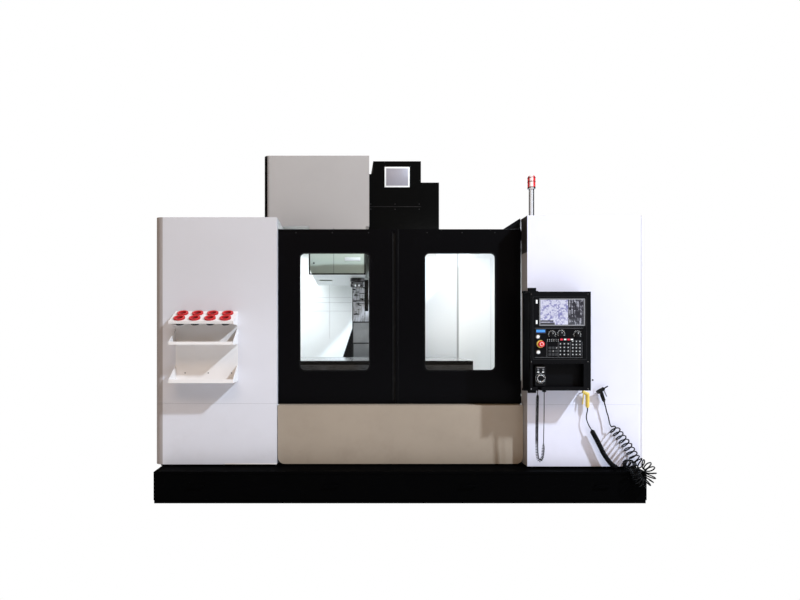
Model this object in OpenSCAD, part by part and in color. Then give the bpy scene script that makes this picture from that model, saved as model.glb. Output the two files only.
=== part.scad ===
// Vertical machining centre with a sheet-metal enclosure.
// X is the long travel, the operator stands at -Y, and Z is up from the floor.

/* [Enclosure] */
// Width over both side cabinets
enclosure_w = 4060; // [3900:10:4300]
// Height of the side cabinets
enclosure_top = 2336; // [2300:2:2450]
// Underside of the side cabinets
panel_bottom = 271; // [270:1:290]
// Height of the joint between upper and lower panels
seam_z = 780; // [770:1:820]
// Front plane of the left cabinet
left_front_y = -1310; // [-1330:1:-1300]
// Front plane of the right cabinet
right_front_y = -1380; // [-1400:1:-1360]
// Inner edge of the left cabinet
left_inner_x = -1011; // [-1040:1:-1005]
// Inner edge of the right cabinet
right_inner_x = 1058; // [1050:1:1080]
// Back plane of the enclosure
enclosure_rear_y = 700; // [690:1:740]
// Thickness of the sheet metal
sheet = 4; // [3:0.5:6]
// Radius of the cabinets' outer edges
cabinet_r = 60; // [30:1:80]

/* [Doors] */
// Front plane of the doors
door_front_y = -1200; // [-1210:1:-1190]
// Depth of a door
door_t = 50; // [40:1:55]
// Lower edge of the doors
door_bottom = 762; // [755:1:775]
// Upper edge of the doors
door_top = 2256; // [2200:1:2270]
// Overlap of a closed door behind its cabinet
door_lap = 5; // [2:1:10]
// Where the doors meet
door_split_x = 10; // [0:1:20]
// Travel of each door
door_travel = 950; // [700:10:955]
// Lower edge of the windows
window_bottom = 1045; // [1000:1:1100]
// Upper edge of the windows
window_top = 2055; // [1950:1:2100]
// Left and right edges of the left window
left_window = [-830, -229]; // [-860:1:-200]
// Left and right edges of the right window
right_window = [237, 848]; // [200:1:880]
// Corner radius of the windows
window_r = 45; // [20:1:60]
// Thickness of the window glass
glass_t = 8; // [5:1:12]

/* [Coolant tank] */
// Width of the tank
tank_w = 3950; // [3900:10:4000]
// Front plane of the tank
tank_front_y = -1500; // [-1520:1:-1480]
// Height of the tank
tank_h = 256; // [240:1:260]

/* [Bed and column] */
// Half width of the bed
bed_half_w = 650; // [600:5:680]
// Front end of the bed
bed_front_y = -1130; // [-1150:5:-1100]
// Rear end of the bed and column
frame_rear_y = 1130; // [1100:5:1150]
// Underside of the bed
bed_bottom = 70; // [60:1:80]
// Top of the bed casting
bed_top = 560; // [540:1:570]
// Height of the sliding ways
way_h = 40; // [30:1:45]
// Width of one way
way_w = 90; // [70:1:95]
// Distance from the middle to a bed way's outer edge
bed_way_x = 380; // [360:1:384]
// Front face of the column casting
column_face_y = 600; // [590:1:620]
// Half width of the column's upper part
column_half_w = 350; // [345:1:370]
// Half width of the column's foot
column_foot_w = 560; // [530:5:600]
// Height at which the column's sides turn upright
column_flare_z = 1422; // [1350:1:1500]
// Top of the column
column_top = 2660; // [2600:10:2700]
// Half width of the tunnel through the column's foot
tunnel_half_w = 430; // [420:1:450]
// Radius of a levelling pad
pad_r = 75; // [50:1:80]
// Radius of a levelling bolt
foot_bolt_r = 16; // [12:1:20]

/* [Slides] */
// Gap between sliding faces
slide_gap = 0.3; // [0.2:0.05:0.5]
// Position of the spindle axis in depth
spindle_y = -290; // [-300:1:-280]
// Half length of the saddle in depth
saddle_half_y = 280; // [270:1:285]
// Half length of the saddle in width
saddle_half_x = 1270; // [1200:10:1290]
// Top of the saddle's ways
saddle_top = 945; // [930:1:950]
// Offset of the table's middle at rest
table_rest_x = -78; // [-90:1:-60]
// Length of the table
table_l = 1700; // [1600:10:1710]
// Depth of the table
table_w = 800; // [700:10:810]
// Height of the table's working face
table_top = 1103; // [1095:1:1110]
// Thickness of the table's slab
table_t = 110; // [90:1:120]
// Width of a slot's neck
slot_neck = 22; // [14:1:24]
// Distance between the slots
slot_pitch = 140; // [110:1:150]

/* [Head] */
// Height of the spindle nose with the head at its top
nose_z = 1900; // [1895:1:1902]
// Radius of the spindle nose
nose_r = 64; // [55:1:70]
// Half width of the head casting
head_half_w = 185; // [170:1:190]
// Underside of the head casting
head_bottom = 2010; // [1990:1:2040]
// Underside of the head's slide
slide_bottom = 1985; // [1980:1:1990]
// Top of the head's slide
slide_top = 2640; // [2600:10:2650]
// Front plane of the motor hood
hood_front_y = -550; // [-560:1:-540]
// Left and right sides of the motor hood
hood_x = [-206, 297]; // [-240:1:320]
// Top of the motor hood
hood_top = 3037; // [3000:1:3045]

/* [Tool changer] */
// Left and right sides of the magazine cover
magazine_x = [-1185, -219]; // [-1200:1:-200]
// Front and rear of the magazine cover
magazine_y = [-850, 330]; // [-870:1:350]
// Top of the magazine cover
magazine_top = 2996; // [2990:1:3020]
// Left side of the cover's lower part
changer_left_x = -773; // [-790:1:-770]
// Right side of the cover's lower part
changer_right_x = -250; // [-255:1:-245]
// Underside of the cover's lower part
changer_bottom = 1903; // [1900:1:1905]
// Distance from the spindle to the waiting tool pocket
changer_reach = 635; // [630:1:640]
// Pitch radius of the tool pockets
disc_r = 455; // [440:1:460]
// Number of tool pockets
pocket_n = 24; // [20:1:26]
// Outer radius of a tool pocket
pocket_r = 45; // [40:1:48]
// Length of a tool pocket
pocket_l = 118; // [110:1:120]
// Height of the magazine's axis
disc_z = 2480; // [2475:1:2485]

/* [Control box] */
// Left and right sides of the control box
control_x = [1012, 1495]; // [1000:1:1510]
// Lower and upper edges of the control box
control_z = [916, 1695]; // [900:1:1710]
// Front plane of the control box
control_front_y = -1580; // [-1600:1:-1560]
// Back plane of the control box
control_back_y = -1400; // [-1410:1:-1395]
// Place of the swivel pin
swivel = [1030, -1415]; // [-1430:1:1045]
// Radius of the swivel pin
swivel_r = 8; // [6:0.5:9]
// Radius of an override dial
dial_r = 21; // [15:1:24]

/* [Accessories] */
// Left and right sides of the tool rack
rack_x = [-1855, -1336]; // [-1870:1:-1320]
// How far the rack stands out
rack_d = 195; // [170:1:200]
// Radius of a cup's rim
cup_r = 46; // [38:1:47]
// Place of the lamp mast
mast = [1153, -1200]; // [-1250:1:1200]
// Radius of the mast
mast_r = 22; // [15:1:25]
// Left and right sides of the electrical cabinet
electric_x = [-150, 1050]; // [-170:1:1070]
// Rear plane of the electrical cabinet's door
electric_rear_y = 1610; // [1500:5:1640]
// Depth of the electrical cabinet's door
electric_door_t = 25; // [20:1:30]

/* [Hidden] */
$fn = 48;
half_w = enclosure_w / 2;
off_white = [0.84, 0.83, 0.82];
cool_white = [0.93, 0.94, 0.97];
dark_grey = [0.2, 0.2, 0.21];
black = [0.09, 0.09, 0.1];
warm_grey = [0.72, 0.70, 0.67];
steel = [0.6, 0.62, 0.64];
way_top = bed_top + way_h;
saddle_y = [spindle_y - saddle_half_y, spindle_y + saddle_half_y];
slab_bottom = table_top - table_t;
table_x = [table_rest_x - table_l / 2, table_rest_x + table_l / 2];
table_y = [spindle_y - table_w / 2, spindle_y + table_w / 2];
saddle_way_y = 150;
guard_half_w = 1650;
guard_rear_y = 528;
guard_top = 2250;
guard_front_y = -1130;
corner_x = 874;
doorway_x = 1100;
guard_cut_w = column_foot_w + 6;
slide_front_y = 470;
slide_half_w = 330;
column_way_x = 310;
column_way_y = column_face_y - way_h;
arm_x = -changer_reach / 2;
beam_x = [-470, -column_half_w];
beam_z = [2262, 2480];
arm_z = [1863, 1893];
plinth_w = 60;
plinth_half_w = tank_w / 2 + 10;
plinth_front_y = -1290;
cover_t = 3;
cover_gap = 0.4;
cover_step = cover_t + cover_gap;
y_cover_l = 290;
y_cover_rear_l = 425;
y_cover_top = 745;
y_cover_half_w = 400;
y_travel = 400;
z_cover_l = 262;
z_cover_pitch = 247;
z_cover_half_w = 350;
guard_slot_w = z_cover_half_w + 6;
z_cover_y = 537.8;
pocket_floor = 60;

// Box between two corners
module block(lo, hi) translate(lo) cube(hi - lo);

// Rounded rectangle between two corners
module round_rect(lo, hi, r) {
    translate([lo[0] + r, lo[1]]) square([hi[0] - lo[0] - 2 * r, hi[1] - lo[1]]);
    translate([lo[0], lo[1] + r]) square([hi[0] - lo[0], hi[1] - lo[1] - 2 * r]);
    for (x = [lo[0] + r, hi[0] - r], y = [lo[1] + r, hi[1] - r]) translate([x, y]) circle(r);
}

// Extrusion of an X-Z outline along Y, from y0 to y1
module along_y(y0, y1) translate([0, y1, 0]) rotate([90, 0, 0]) linear_extrude(y1 - y0) children();

// Extrusion of a Y-Z outline along X, from x0 to x1
module along_x(x0, x1) translate([x0, 0, 0]) rotate([90, 0, 90]) linear_extrude(x1 - x0) children();

// Cylinders that lie along X and Y, starting at a point
module rod_x(p, r, l) translate(p) rotate([0, 90, 0]) cylinder(r = r, h = l);
module rod_y(p, r, l) translate(p) rotate([-90, 0, 0]) cylinder(r = r, h = l);

// Both sides of the middle plane
module both_sides() {
    children();
    mirror([1, 0, 0]) children();
}

// Swept tube: rings of n points around a path
function unit(v) = v / norm(v);
function heading(path, i) = unit(path[min(i + 1, len(path) - 1)] - path[max(i - 1, 0)]);
function across(t) = unit(cross(t, [0.13, 0.97, 0.21]));
function ring(p, t, r, n) = [for (k = [0 : n - 1])
    p + r * cos(360 * k / n) * across(t) + r * sin(360 * k / n) * cross(t, across(t))];
module tube(path, r, n = 8) {
    m = len(path);
    points = [for (i = [0 : m - 1]) each ring(path[i], heading(path, i), r, n)];
    sides = [for (i = [0 : m - 2], k = [0 : n - 1])
        [i * n + k, i * n + (k + 1) % n, (i + 1) * n + (k + 1) % n, (i + 1) * n + k]];
    ends = [[for (k = [n - 1 : -1 : 0]) k], [for (k = [0 : n - 1]) (m - 1) * n + k]];
    polyhedron(points, concat(sides, ends));
}

// Column outline seen from the front
function column_outline(grow) = [
    [-column_foot_w - grow, bed_top], [column_foot_w + grow, bed_top],
    [column_foot_w + grow, bed_top + 220], [column_half_w + grow, column_flare_z],
    [column_half_w + grow, column_top], [-column_half_w - grow, column_top],
    [-column_half_w - grow, column_flare_z], [-column_foot_w - grow, bed_top + 220]];

foot_x = bed_half_w + 38;
foot_y = [for (i = [0 : 3]) bed_front_y + 130 + i * (frame_rear_y - bed_front_y - 260) / 3];
bed_flange = 40;
bed_wall = 35;
bay_n = 6;
bay = (frame_rear_y - bed_front_y - (bay_n + 1) * bed_wall) / bay_n;
bay_y = [for (i = [0 : bay_n - 1]) bed_front_y + bed_wall + i * (bay + bed_wall)];
bed_core_r = 90;
module bed() color(dark_grey) difference() {
    union() {
        block([-bed_half_w - 70, bed_front_y, bed_bottom],
            [bed_half_w + 70, frame_rear_y, bed_bottom + bed_flange]);
        block([-bed_half_w, bed_front_y, bed_bottom], [bed_half_w, frame_rear_y, bed_top]);
        both_sides() block([bed_way_x - way_w, bed_front_y, bed_top],
            [bed_way_x, column_face_y - 60, way_top]);
    }
    // Open ribbed underside
    for (y0 = bay_y) {
        block([-bed_half_w + bed_wall, y0, bed_bottom - 1],
            [bed_half_w - bed_wall, y0 + bay, bed_top - bed_wall]);
        // Core holes in the side walls
        rod_x([-bed_half_w - 1, y0 + bay / 2, 290], bed_core_r, 2 * bed_half_w + 2);
    }
    both_sides() for (y = foot_y) translate([foot_x, y, bed_bottom - 1])
        cylinder(r = foot_bolt_r + slide_gap, h = bed_flange + 2);
}

module levelling_feet() color(steel) both_sides() for (y = foot_y) translate([foot_x, y, 0]) {
    cylinder(r1 = pad_r, r2 = pad_r - 12, h = 22);
    cylinder(r = 30, h = bed_bottom);
    cylinder(r = foot_bolt_r, h = bed_bottom + bed_flange + 55);
    translate([0, 0, bed_bottom + bed_flange]) cylinder(r = 26, h = 24, $fn = 6);
}

column_wall = 40;
core_pitch = 440;
core_z = [860 : core_pitch : 2200];
core_hole_r = 80;
core_rib = 40;
module column() color(dark_grey) difference() {
    union() {
        along_y(column_face_y, frame_rear_y) polygon(column_outline(0));
        along_y(column_way_y, column_face_y) for (s = [-1, 1])
            translate([s * (column_way_x - way_w / 2) - way_w / 2, 780]) square([way_w, column_top - 780]);
        // Flared feet that show beside the slide covers
        along_y(540, column_face_y) for (s = [-1, 1]) polygon([
            [s * (z_cover_half_w + 3), 800], [s * column_foot_w, 800],
            [s * column_foot_w, bed_top + 240], [s * (z_cover_half_w + 3), column_flare_z]]);
    }
    // Tunnel for the rear covers
    block([-tunnel_half_w, column_face_y - 1, bed_top - 1], [tunnel_half_w, frame_rear_y + 1, 790]);
    // Hollow cores between ribs, with core holes through the sides and the back
    core_y = (column_face_y + frame_rear_y) / 2;
    core_end = column_half_w - column_wall;
    for (z = core_z) {
        both_sides() block([core_rib / 2, column_face_y + column_wall + 20, z],
            [core_end, frame_rear_y - column_wall, z + core_pitch - column_wall]);
        both_sides() rod_y([(core_rib / 2 + core_end) / 2, core_y, z + core_pitch / 2 - 20],
            core_hole_r, frame_rear_y - core_y + 1);
        rod_x([-column_foot_w - 1, core_y + 10, z + core_pitch / 2 - 20], core_hole_r,
            2 * column_foot_w + 2);
    }
}

wing_rear_y = 100;
module coolant_tank() color(black) {
    front = -1180;
    wing_x = bed_half_w + 130;
    difference() {
        union() {
            block([-tank_w / 2, tank_front_y, 0], [tank_w / 2, front, tank_h]);
            for (s = [-1, 1]) block([s > 0 ? wing_x : -tank_w / 2, front, 0],
                [s > 0 ? tank_w / 2 : -wing_x, wing_rear_y, tank_h]);
        }
        block([-tank_w / 2 + sheet, tank_front_y + sheet, sheet],
            [tank_w / 2 - sheet, front - sheet, tank_h - sheet]);
        // The wings are open above, under the chip pan
        for (s = [-1, 1]) block([s > 0 ? wing_x + sheet : -tank_w / 2 + sheet, front, sheet],
            [s > 0 ? tank_w / 2 - sheet : -wing_x - sheet, wing_rear_y - sheet, tank_h + 1]);
        // Step under the front edge
        block([-tank_w / 2 - 1, tank_front_y - 1, -1], [tank_w / 2 + 1, tank_front_y + 14, 30]);
    }
    // Return pump on the right wing
    translate([tank_w / 2 - 260, wing_rear_y - 160, 0]) {
        cylinder(r = 70, h = tank_h + 40);
        translate([0, 0, tank_h + 40]) cylinder(r = 85, h = 12);
    }
}

module plinth() color(black) {
    difference() {
        block([-plinth_half_w, plinth_front_y, tank_h], [plinth_half_w, enclosure_rear_y, panel_bottom]);
        block([-plinth_half_w + plinth_w, plinth_front_y + plinth_w, tank_h - 1],
            [plinth_half_w - plinth_w, enclosure_rear_y - plinth_w, panel_bottom + 1]);
        block([-column_foot_w - 240, enclosure_rear_y - 200, tank_h - 1],
            [column_foot_w + 240, enclosure_rear_y + 1, panel_bottom + 1]);
    }
    for (s = [-1, 1], x = [plinth_half_w - plinth_w, column_foot_w + 240])
        translate([s > 0 ? x : -x - plinth_w, enclosure_rear_y - plinth_w, 0])
            cube([plinth_w, plinth_w, tank_h]);
}

// Plan of a cabinet: square at its inner edge, round at its outer front edge
module cabinet_plan(x_inner, x_outer, front_y, inset) {
    s = x_outer > x_inner ? 1 : -1;
    out = x_outer - s * inset;
    in = x_inner + s * inset;
    r = max(cabinet_r - inset, 1);
    lo = [min(in, out), front_y + inset];
    translate([min(in, out - s * r), lo[1]]) square([abs(out - in) - r, enclosure_rear_y - lo[1]]);
    translate([lo[0], lo[1] + r]) square([abs(out - in), enclosure_rear_y - lo[1] - r]);
    translate([out - s * r, lo[1] + r]) circle(r);
}

// One cabinet shell: front, outer side and flank, with a roof above or a bottom flange below
module cabinet_shell(x_inner, x_outer, front_y, z0, z1, roof) {
    s = x_outer > x_inner ? 1 : -1;
    low = roof ? z0 - 1 : z0 + sheet;
    high = roof ? z1 - sheet : z1 + 1;
    flank = x_inner + s * (sheet + 1);
    difference() {
        translate([0, 0, z0]) linear_extrude(z1 - z0) cabinet_plan(x_inner, x_outer, front_y, 0);
        translate([0, 0, low]) linear_extrude(high - low) cabinet_plan(x_inner, x_outer, front_y, sheet);
        // Bottom opening inside the flange
        if (!roof) translate([0, 0, z0 - 1]) linear_extrude(sheet + 2)
            cabinet_plan(x_inner, x_outer, front_y, bottom_flange);
        // Open back
        block([min(x_inner, x_outer) + sheet, enclosure_rear_y - 90, low],
            [max(x_inner, x_outer) - sheet, enclosure_rear_y + 1, high]);
        // The flank stops ahead of the door
        block([min(x_inner - s, flank), door_front_y - 25, z0 - 1],
            [max(x_inner - s, flank), enclosure_rear_y + 1, high]);
    }
}

bottom_flange = 90;
seam_gap = 0.9;
module left_panels() color(off_white) {
    cabinet_shell(left_inner_x, -half_w, left_front_y, seam_z + seam_gap / 2, enclosure_top, true);
    cabinet_shell(left_inner_x, -half_w, left_front_y, panel_bottom, seam_z - seam_gap / 2, false);
}

module right_panels() color(cool_white) {
    cabinet_shell(right_inner_x, half_w, right_front_y, seam_z + seam_gap / 2, enclosure_top, true);
    cabinet_shell(right_inner_x, half_w, right_front_y, panel_bottom, seam_z - seam_gap / 2, false);
}

louvre_n = 9;
module rear_panels() color(off_white) both_sides() difference() {
    block([bed_half_w + 15, enclosure_rear_y, panel_bottom],
        [half_w, enclosure_rear_y + sheet, enclosure_top]);
    for (i = [0 : louvre_n - 1])
        block([1300, enclosure_rear_y - 1, 420 + i * 40],
            [1700, enclosure_rear_y + sheet + 1, 432 + i * 40]);
}

apron_x = [left_inner_x + 5, right_inner_x - 5];
apron_y = -1290;
apron_r = 60;
module front_apron() color(warm_grey) {
    top = door_bottom - slide_gap;
    along_y(apron_y, apron_y + sheet) {
        round_rect([apron_x[0], panel_bottom], [apron_x[1], top], apron_r);
        translate([apron_x[0], top - 100]) square([apron_x[1] - apron_x[0], 100]);
    }
    // Folded sill under the doors
    block([apron_x[0], apron_y, top - sheet], [apron_x[1], guard_front_y - 1, top]);
    block([apron_x[0], guard_front_y - 1 - sheet, y_cover_top + 4], [apron_x[1], guard_front_y - 1, top]);
    // Bottom return that stands on the plinth
    block([apron_x[0] + apron_r, apron_y, panel_bottom],
        [apron_x[1] - apron_r, apron_y + 45, panel_bottom + sheet]);
}

header_z = [2176, 2248];
header_y = [door_front_y + door_t + slide_gap, door_front_y + door_t + slide_gap + 62];
module door_header() color(dark_grey) {
    y0 = header_y[0];
    difference() {
        block([-half_w + sheet, y0, header_z[0]], [half_w - sheet, header_y[1], header_z[1]]);
        block([-half_w, y0 + 8, header_z[0] - 1], [half_w, header_y[1] - 8, header_z[1] - 8]);
    }
    // Lower guide behind the sill
    block([-half_w + sheet, y0, door_bottom + 2], [left_inner_x, guard_front_y, door_bottom + 60]);
    block([right_inner_x, y0, door_bottom + 2], [half_w - sheet, guard_front_y, door_bottom + 60]);
}

guard_sheet = 3;
pan_low_z = 420;
pan_high_z = 640;
seam_strip = 34;
module splash_guard() color(off_white) {
    difference() {
        union() {
            both_sides() {
                // Side walls stand on the chip pan, and turn in beside the doorway
                block([guard_half_w, guard_front_y, pan_high_z],
                    [guard_half_w + guard_sheet, guard_rear_y, guard_top]);
                block([doorway_x, guard_front_y, pan_high_z],
                    [guard_half_w, guard_front_y + guard_sheet, guard_top]);
                // Cover strip over the joint in the back wall
                block([corner_x, guard_rear_y - 5, pan_high_z],
                    [corner_x + seam_strip, guard_rear_y, guard_top]);
            }
            // Back walls, cut around the bed and the column
            both_sides() along_y(guard_rear_y, guard_rear_y + guard_sheet) polygon([
                [bed_half_w + slide_gap, pan_low_z], [guard_half_w + guard_sheet, pan_high_z],
                [guard_half_w + guard_sheet, guard_top], [guard_slot_w, guard_top],
                    [guard_slot_w, column_flare_z],
                [guard_cut_w, bed_top + 220], [guard_cut_w, bed_top + slide_gap],
                [bed_half_w + slide_gap, bed_top + slide_gap]]);
        }
        // Seat against the door header
        block([-half_w, header_y[0] - 1, header_z[0]], [half_w, header_y[1], guard_top + 1]);
    }
    // Sloping chip pan on each side of the bed
    both_sides() along_y(guard_front_y, guard_rear_y) polygon([
        [bed_half_w, pan_low_z], [bed_half_w, pan_low_z + guard_sheet],
        [guard_half_w + guard_sheet, pan_high_z + guard_sheet], [guard_half_w + guard_sheet, pan_high_z]]);
}

// Outer cover of the magazine: a tall box with a narrower part that reaches into the work area
module magazine_shape(inset, low) {
    left = magazine_x[0] + inset;
    right = magazine_x[1] - inset;
    step_z = enclosure_top + 12;
    polygon([
        [changer_left_x + inset, step_z + inset], [left, step_z + inset], [left, magazine_top - inset],
        [right, magazine_top - inset], [right, step_z + inset], [changer_right_x - inset, step_z + inset],
        [changer_right_x - inset, low], [changer_left_x + inset + 28, low],
        [changer_left_x + inset, low + 80]]);
}

module magazine_cover() color(warm_grey) {
    y0 = magazine_y[0];
    y1 = magazine_y[1];
    difference() {
        along_y(y0, y1) magazine_shape(0, changer_bottom);
        along_y(y0 + sheet, y1 - sheet) magazine_shape(sheet, changer_bottom + sheet);
        // Rounded front edge on the left
        difference() {
            block([magazine_x[0] - 1, y0 - 1, changer_bottom],
                [magazine_x[0] + cabinet_r - 10, y0 + cabinet_r - 10, magazine_top + 1]);
            translate([magazine_x[0] + cabinet_r - 10, y0 + cabinet_r - 10, 0])
                cylinder(r = cabinet_r - 10, h = magazine_top + 9);
        }
        // Ports for the swinging pocket and for the arm's shaft
        block([-changer_reach - 65, spindle_y - 65, changer_bottom - 1],
            [-changer_reach + 65, spindle_y + 65, changer_bottom + sheet + 1]);
        translate([arm_x, spindle_y, changer_bottom - 1]) cylinder(r = 48, h = sheet + 2);
        // Cut-out for the carrier beam in the back
        block([beam_x[0] - 4, y1 - sheet - 1, beam_z[0] - 4], [beam_x[1] + 4, y1 + 1, beam_z[1] + 4]);
    }
}

shaft_r = 28;
module changer_frame() color(dark_grey) {
    // Cam gearbox over the change arm
    difference() {
        block([arm_x - 95, spindle_y - 130, changer_bottom + sheet],
            [changer_right_x - sheet - 4, spindle_y + 180, 2330]);
        translate([arm_x, spindle_y, changer_bottom]) cylinder(r = shaft_r + slide_gap, h = 310);
    }
    // Carrier beam bolted to the side of the column
    block([beam_x[0], spindle_y + 60, beam_z[0]], [beam_x[1], column_face_y + 160, beam_z[1]]);
    block([arm_x - 95, spindle_y - 60, 2330], [changer_right_x - 60, spindle_y + 60, disc_z + 60]);
    // Disc shaft
    rod_x([-changer_reach + 62, spindle_y, disc_z], 40, changer_reach - 62 + arm_x - 95);
    rod_x([-changer_reach - 20, spindle_y, disc_z], 30, 84);
}

disc_hub = 90;
module tool_disc() color(steel) {
    x0 = -changer_reach;
    difference() {
        union() {
            rod_x([x0 + 20, spindle_y, disc_z], disc_r + 20, 18);
            rod_x([x0 - 10, spindle_y, disc_z], disc_hub, 70);
        }
        rod_x([x0 - 30, spindle_y, disc_z], 30 + slide_gap, 120);
        for (a = [0 : 60 : 300]) rod_x([x0, spindle_y + 230 * cos(a + 30), disc_z + 230 * sin(a + 30)], 85,
            60);
    }
    for (i = [0 : pocket_n - 1]) {
        a = 360 * i / pocket_n - 90;
        translate([x0 + 20, spindle_y + disc_r * cos(a), disc_z + disc_r * sin(a)]) rotate([0, -90, 0])
            difference() {
            cylinder(r = pocket_r, h = pocket_l, $fn = 24);
            translate([0, 0, 15]) cylinder(r = pocket_r - 11, h = pocket_l, $fn = 24);
        }
    }
}

arm_grip = 50;
module arm_shaft() color(steel) translate([arm_x, spindle_y, 0]) {
    translate([0, 0, arm_z[1] + slide_gap]) cylinder(r = shaft_r, h = 260);
    translate([0, 0, arm_z[0] - 12]) cylinder(r = 18, h = arm_z[1] - arm_z[0] + 13);
    translate([0, 0, arm_z[0] - 24]) cylinder(r = 26, h = 24 - slide_gap);
}

module change_arm() color(steel) translate([arm_x, spindle_y, arm_z[0]]) difference() {
    linear_extrude(arm_z[1] - arm_z[0]) difference() {
        union() {
            circle(62);
            polygon([[-34, arm_x + 40], [34, arm_x + 40], [46, 0], [34, -arm_x - 40], [-34, -arm_x - 40],
                [-46, 0]]);
            for (s = [-1, 1]) translate([0, s * arm_x]) circle(arm_grip + 22);
        }
        circle(18 + slide_gap);
        for (s = [-1, 1]) {
            translate([0, s * arm_x]) circle(arm_grip);
            translate([s > 0 ? 0 : -120, s * arm_x - 36]) square([120, 72]);
        }
    }
}

electric_z = [320, 2220];
module electrical_cabinet() color(off_white) {
    y1 = electric_rear_y - electric_door_t - slide_gap;
    difference() {
        block([electric_x[0], frame_rear_y, electric_z[0]], [electric_x[1], y1, electric_z[1]]);
        block([electric_x[0] + sheet, frame_rear_y + sheet, electric_z[0] + sheet],
            [electric_x[1] - sheet, y1 + 1, electric_z[1] - sheet]);
    }
    // Mounting plate with contactor rows
    block([electric_x[0] + 60, frame_rear_y + sheet, 420],
        [electric_x[1] - 60, frame_rear_y + sheet + 12, 2100]);
    for (z = [560 : 300 : 1900]) block([electric_x[0] + 120, frame_rear_y + sheet + 12, z],
        [electric_x[1] - 120, frame_rear_y + 150, z + 160]);
    // Stand
    for (x = [electric_x[0], electric_x[1] - 80], y = [frame_rear_y, y1 - 80])
        block([x, y, 0], [x + 80, y + 80, electric_z[0]]);
}

module electrical_door() color(off_white) difference() {
    y0 = electric_rear_y - electric_door_t;
    block([electric_x[0], y0, electric_z[0]], [electric_x[1], electric_rear_y, electric_z[1]]);
    block([electric_x[0] + 30, y0 - 1, electric_z[0] + 30],
        [electric_x[1] - 30, electric_rear_y - sheet - 12, electric_z[1] - 30]);
    // Recessed lever on the free side
    difference() {
        block([electric_x[0] + 40, electric_rear_y - 12, 1150],
            [electric_x[0] + 78, electric_rear_y + 1, 1390]);
        block([electric_x[0] + 50, electric_rear_y - 13, 1165], [electric_x[0] + 68, electric_rear_y, 1375]);
    }
}

rack_tiers = [968, 1275];
rack_lip = [29, 25];
tilt = 24;
cup_pitch = 124;
cup_out = 50;
cup_row_gap = 95;
cup_plate_z = 1550;
cup_row = [for (i = [0 : 3]) (rack_x[0] + rack_x[1]) / 2 + (i - 1.5) * cup_pitch];
rack_y = left_front_y;
module rack_side(x) translate([x, 0, 0]) along_x(0, sheet) {
    // Gusset under each shelf
    for (i = [0, 1]) polygon([[rack_y, rack_tiers[i]], [rack_y, rack_tiers[i] + 130],
        [rack_y - 12, rack_tiers[i] + 130],
        [rack_y - rack_d, rack_tiers[i] + rack_lip[i]], [rack_y - rack_d, rack_tiers[i]]]);
    polygon([[rack_y, cup_plate_z - 120], [rack_y, cup_plate_z],
        [rack_y - rack_d, cup_plate_z - rack_d * tan(tilt)],
        [rack_y - rack_d, cup_plate_z - rack_d * tan(tilt) - 22]]);
}

module cup_places() for (x = cup_row, k = [0, 1])
    translate([x, rack_y - cup_out - k * cup_row_gap, cup_plate_z - (cup_out + k * cup_row_gap) * tan(tilt)])
    rotate([tilt, 0, 0]) children();

module tool_rack() color([0.95, 0.95, 0.94]) difference() {
    union() {
        block([rack_x[0], rack_y - 3, rack_tiers[0]], [rack_x[1], rack_y, cup_plate_z]);
        for (i = [0, 1]) {
            block([rack_x[0], rack_y - rack_d, rack_tiers[i]], [rack_x[1], rack_y, rack_tiers[i] + sheet]);
            block([rack_x[0], rack_y - rack_d, rack_tiers[i]],
                [rack_x[1], rack_y - rack_d + sheet, rack_tiers[i] + rack_lip[i]]);
        }
        for (x = [rack_x[0], rack_x[1] - sheet]) rack_side(x);
        rack_plate();
    }
    cup_places() translate([0, 0, -60]) cylinder(r = 34.6, h = 120);
}

// Sloping top plate of the rack, with its front lip
module rack_plate() translate([0, rack_y, cup_plate_z]) rotate([tilt, 0, 0]) {
    l = rack_d / cos(tilt);
    translate([rack_x[0], -l, -sheet]) cube([rack_x[1] - rack_x[0], l - sheet, sheet]);
    translate([rack_x[0], -l, -22]) cube([rack_x[1] - rack_x[0], sheet, 22]);
}

module tool_cups() color([0.75, 0.1, 0.1]) cup_places() difference() {
    union() {
        translate([0, 0, 0.2]) cylinder(r = cup_r, h = 12);
        translate([0, 0, -46]) cylinder(r = 34, h = 58);
    }
    translate([0, 0, -38]) cylinder(r1 = 16, r2 = 30, h = 51);
}

lamp_z = [2611, 2712];
module light_mast() color(black) translate([mast[0], mast[1], enclosure_top]) {
    cylinder(r = mast_r + 14, h = 12);
    cylinder(r = mast_r, h = lamp_z[0] - enclosure_top - 14);
    translate([0, 0, lamp_z[0] - enclosure_top - 14]) cylinder(r = 32, h = 14);
}

module light_lens() color([0.85, 0.1, 0.1]) translate([mast[0], mast[1], lamp_z[0]]) rotate_extrude()
    polygon([[0, 0], [31, 0], [32, 6], [32, lamp_z[1] - lamp_z[0] - 16], [27, lamp_z[1] - lamp_z[0] - 4],
        [18, lamp_z[1] - lamp_z[0]], [0, lamp_z[1] - lamp_z[0]]]);

lug_t = 16;
module pendant_bracket() color(black) {
    block([right_inner_x + 2, right_front_y - 5, control_z[0] - 40],
        [right_inner_x + 72, right_front_y, control_z[1] + 45]);
    for (z = [control_z[0] - slide_gap - lug_t, control_z[1] + slide_gap])
        block([control_x[0], swivel[1] - 20, z], [control_x[0] + 118, right_front_y - 5, z + lug_t]);
    translate([swivel[0], swivel[1], control_z[1] - 40]) cylinder(r = swivel_r, h = 50);
    translate([swivel[0], swivel[1], control_z[0] - 10]) cylinder(r = swivel_r, h = 50);
}

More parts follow.
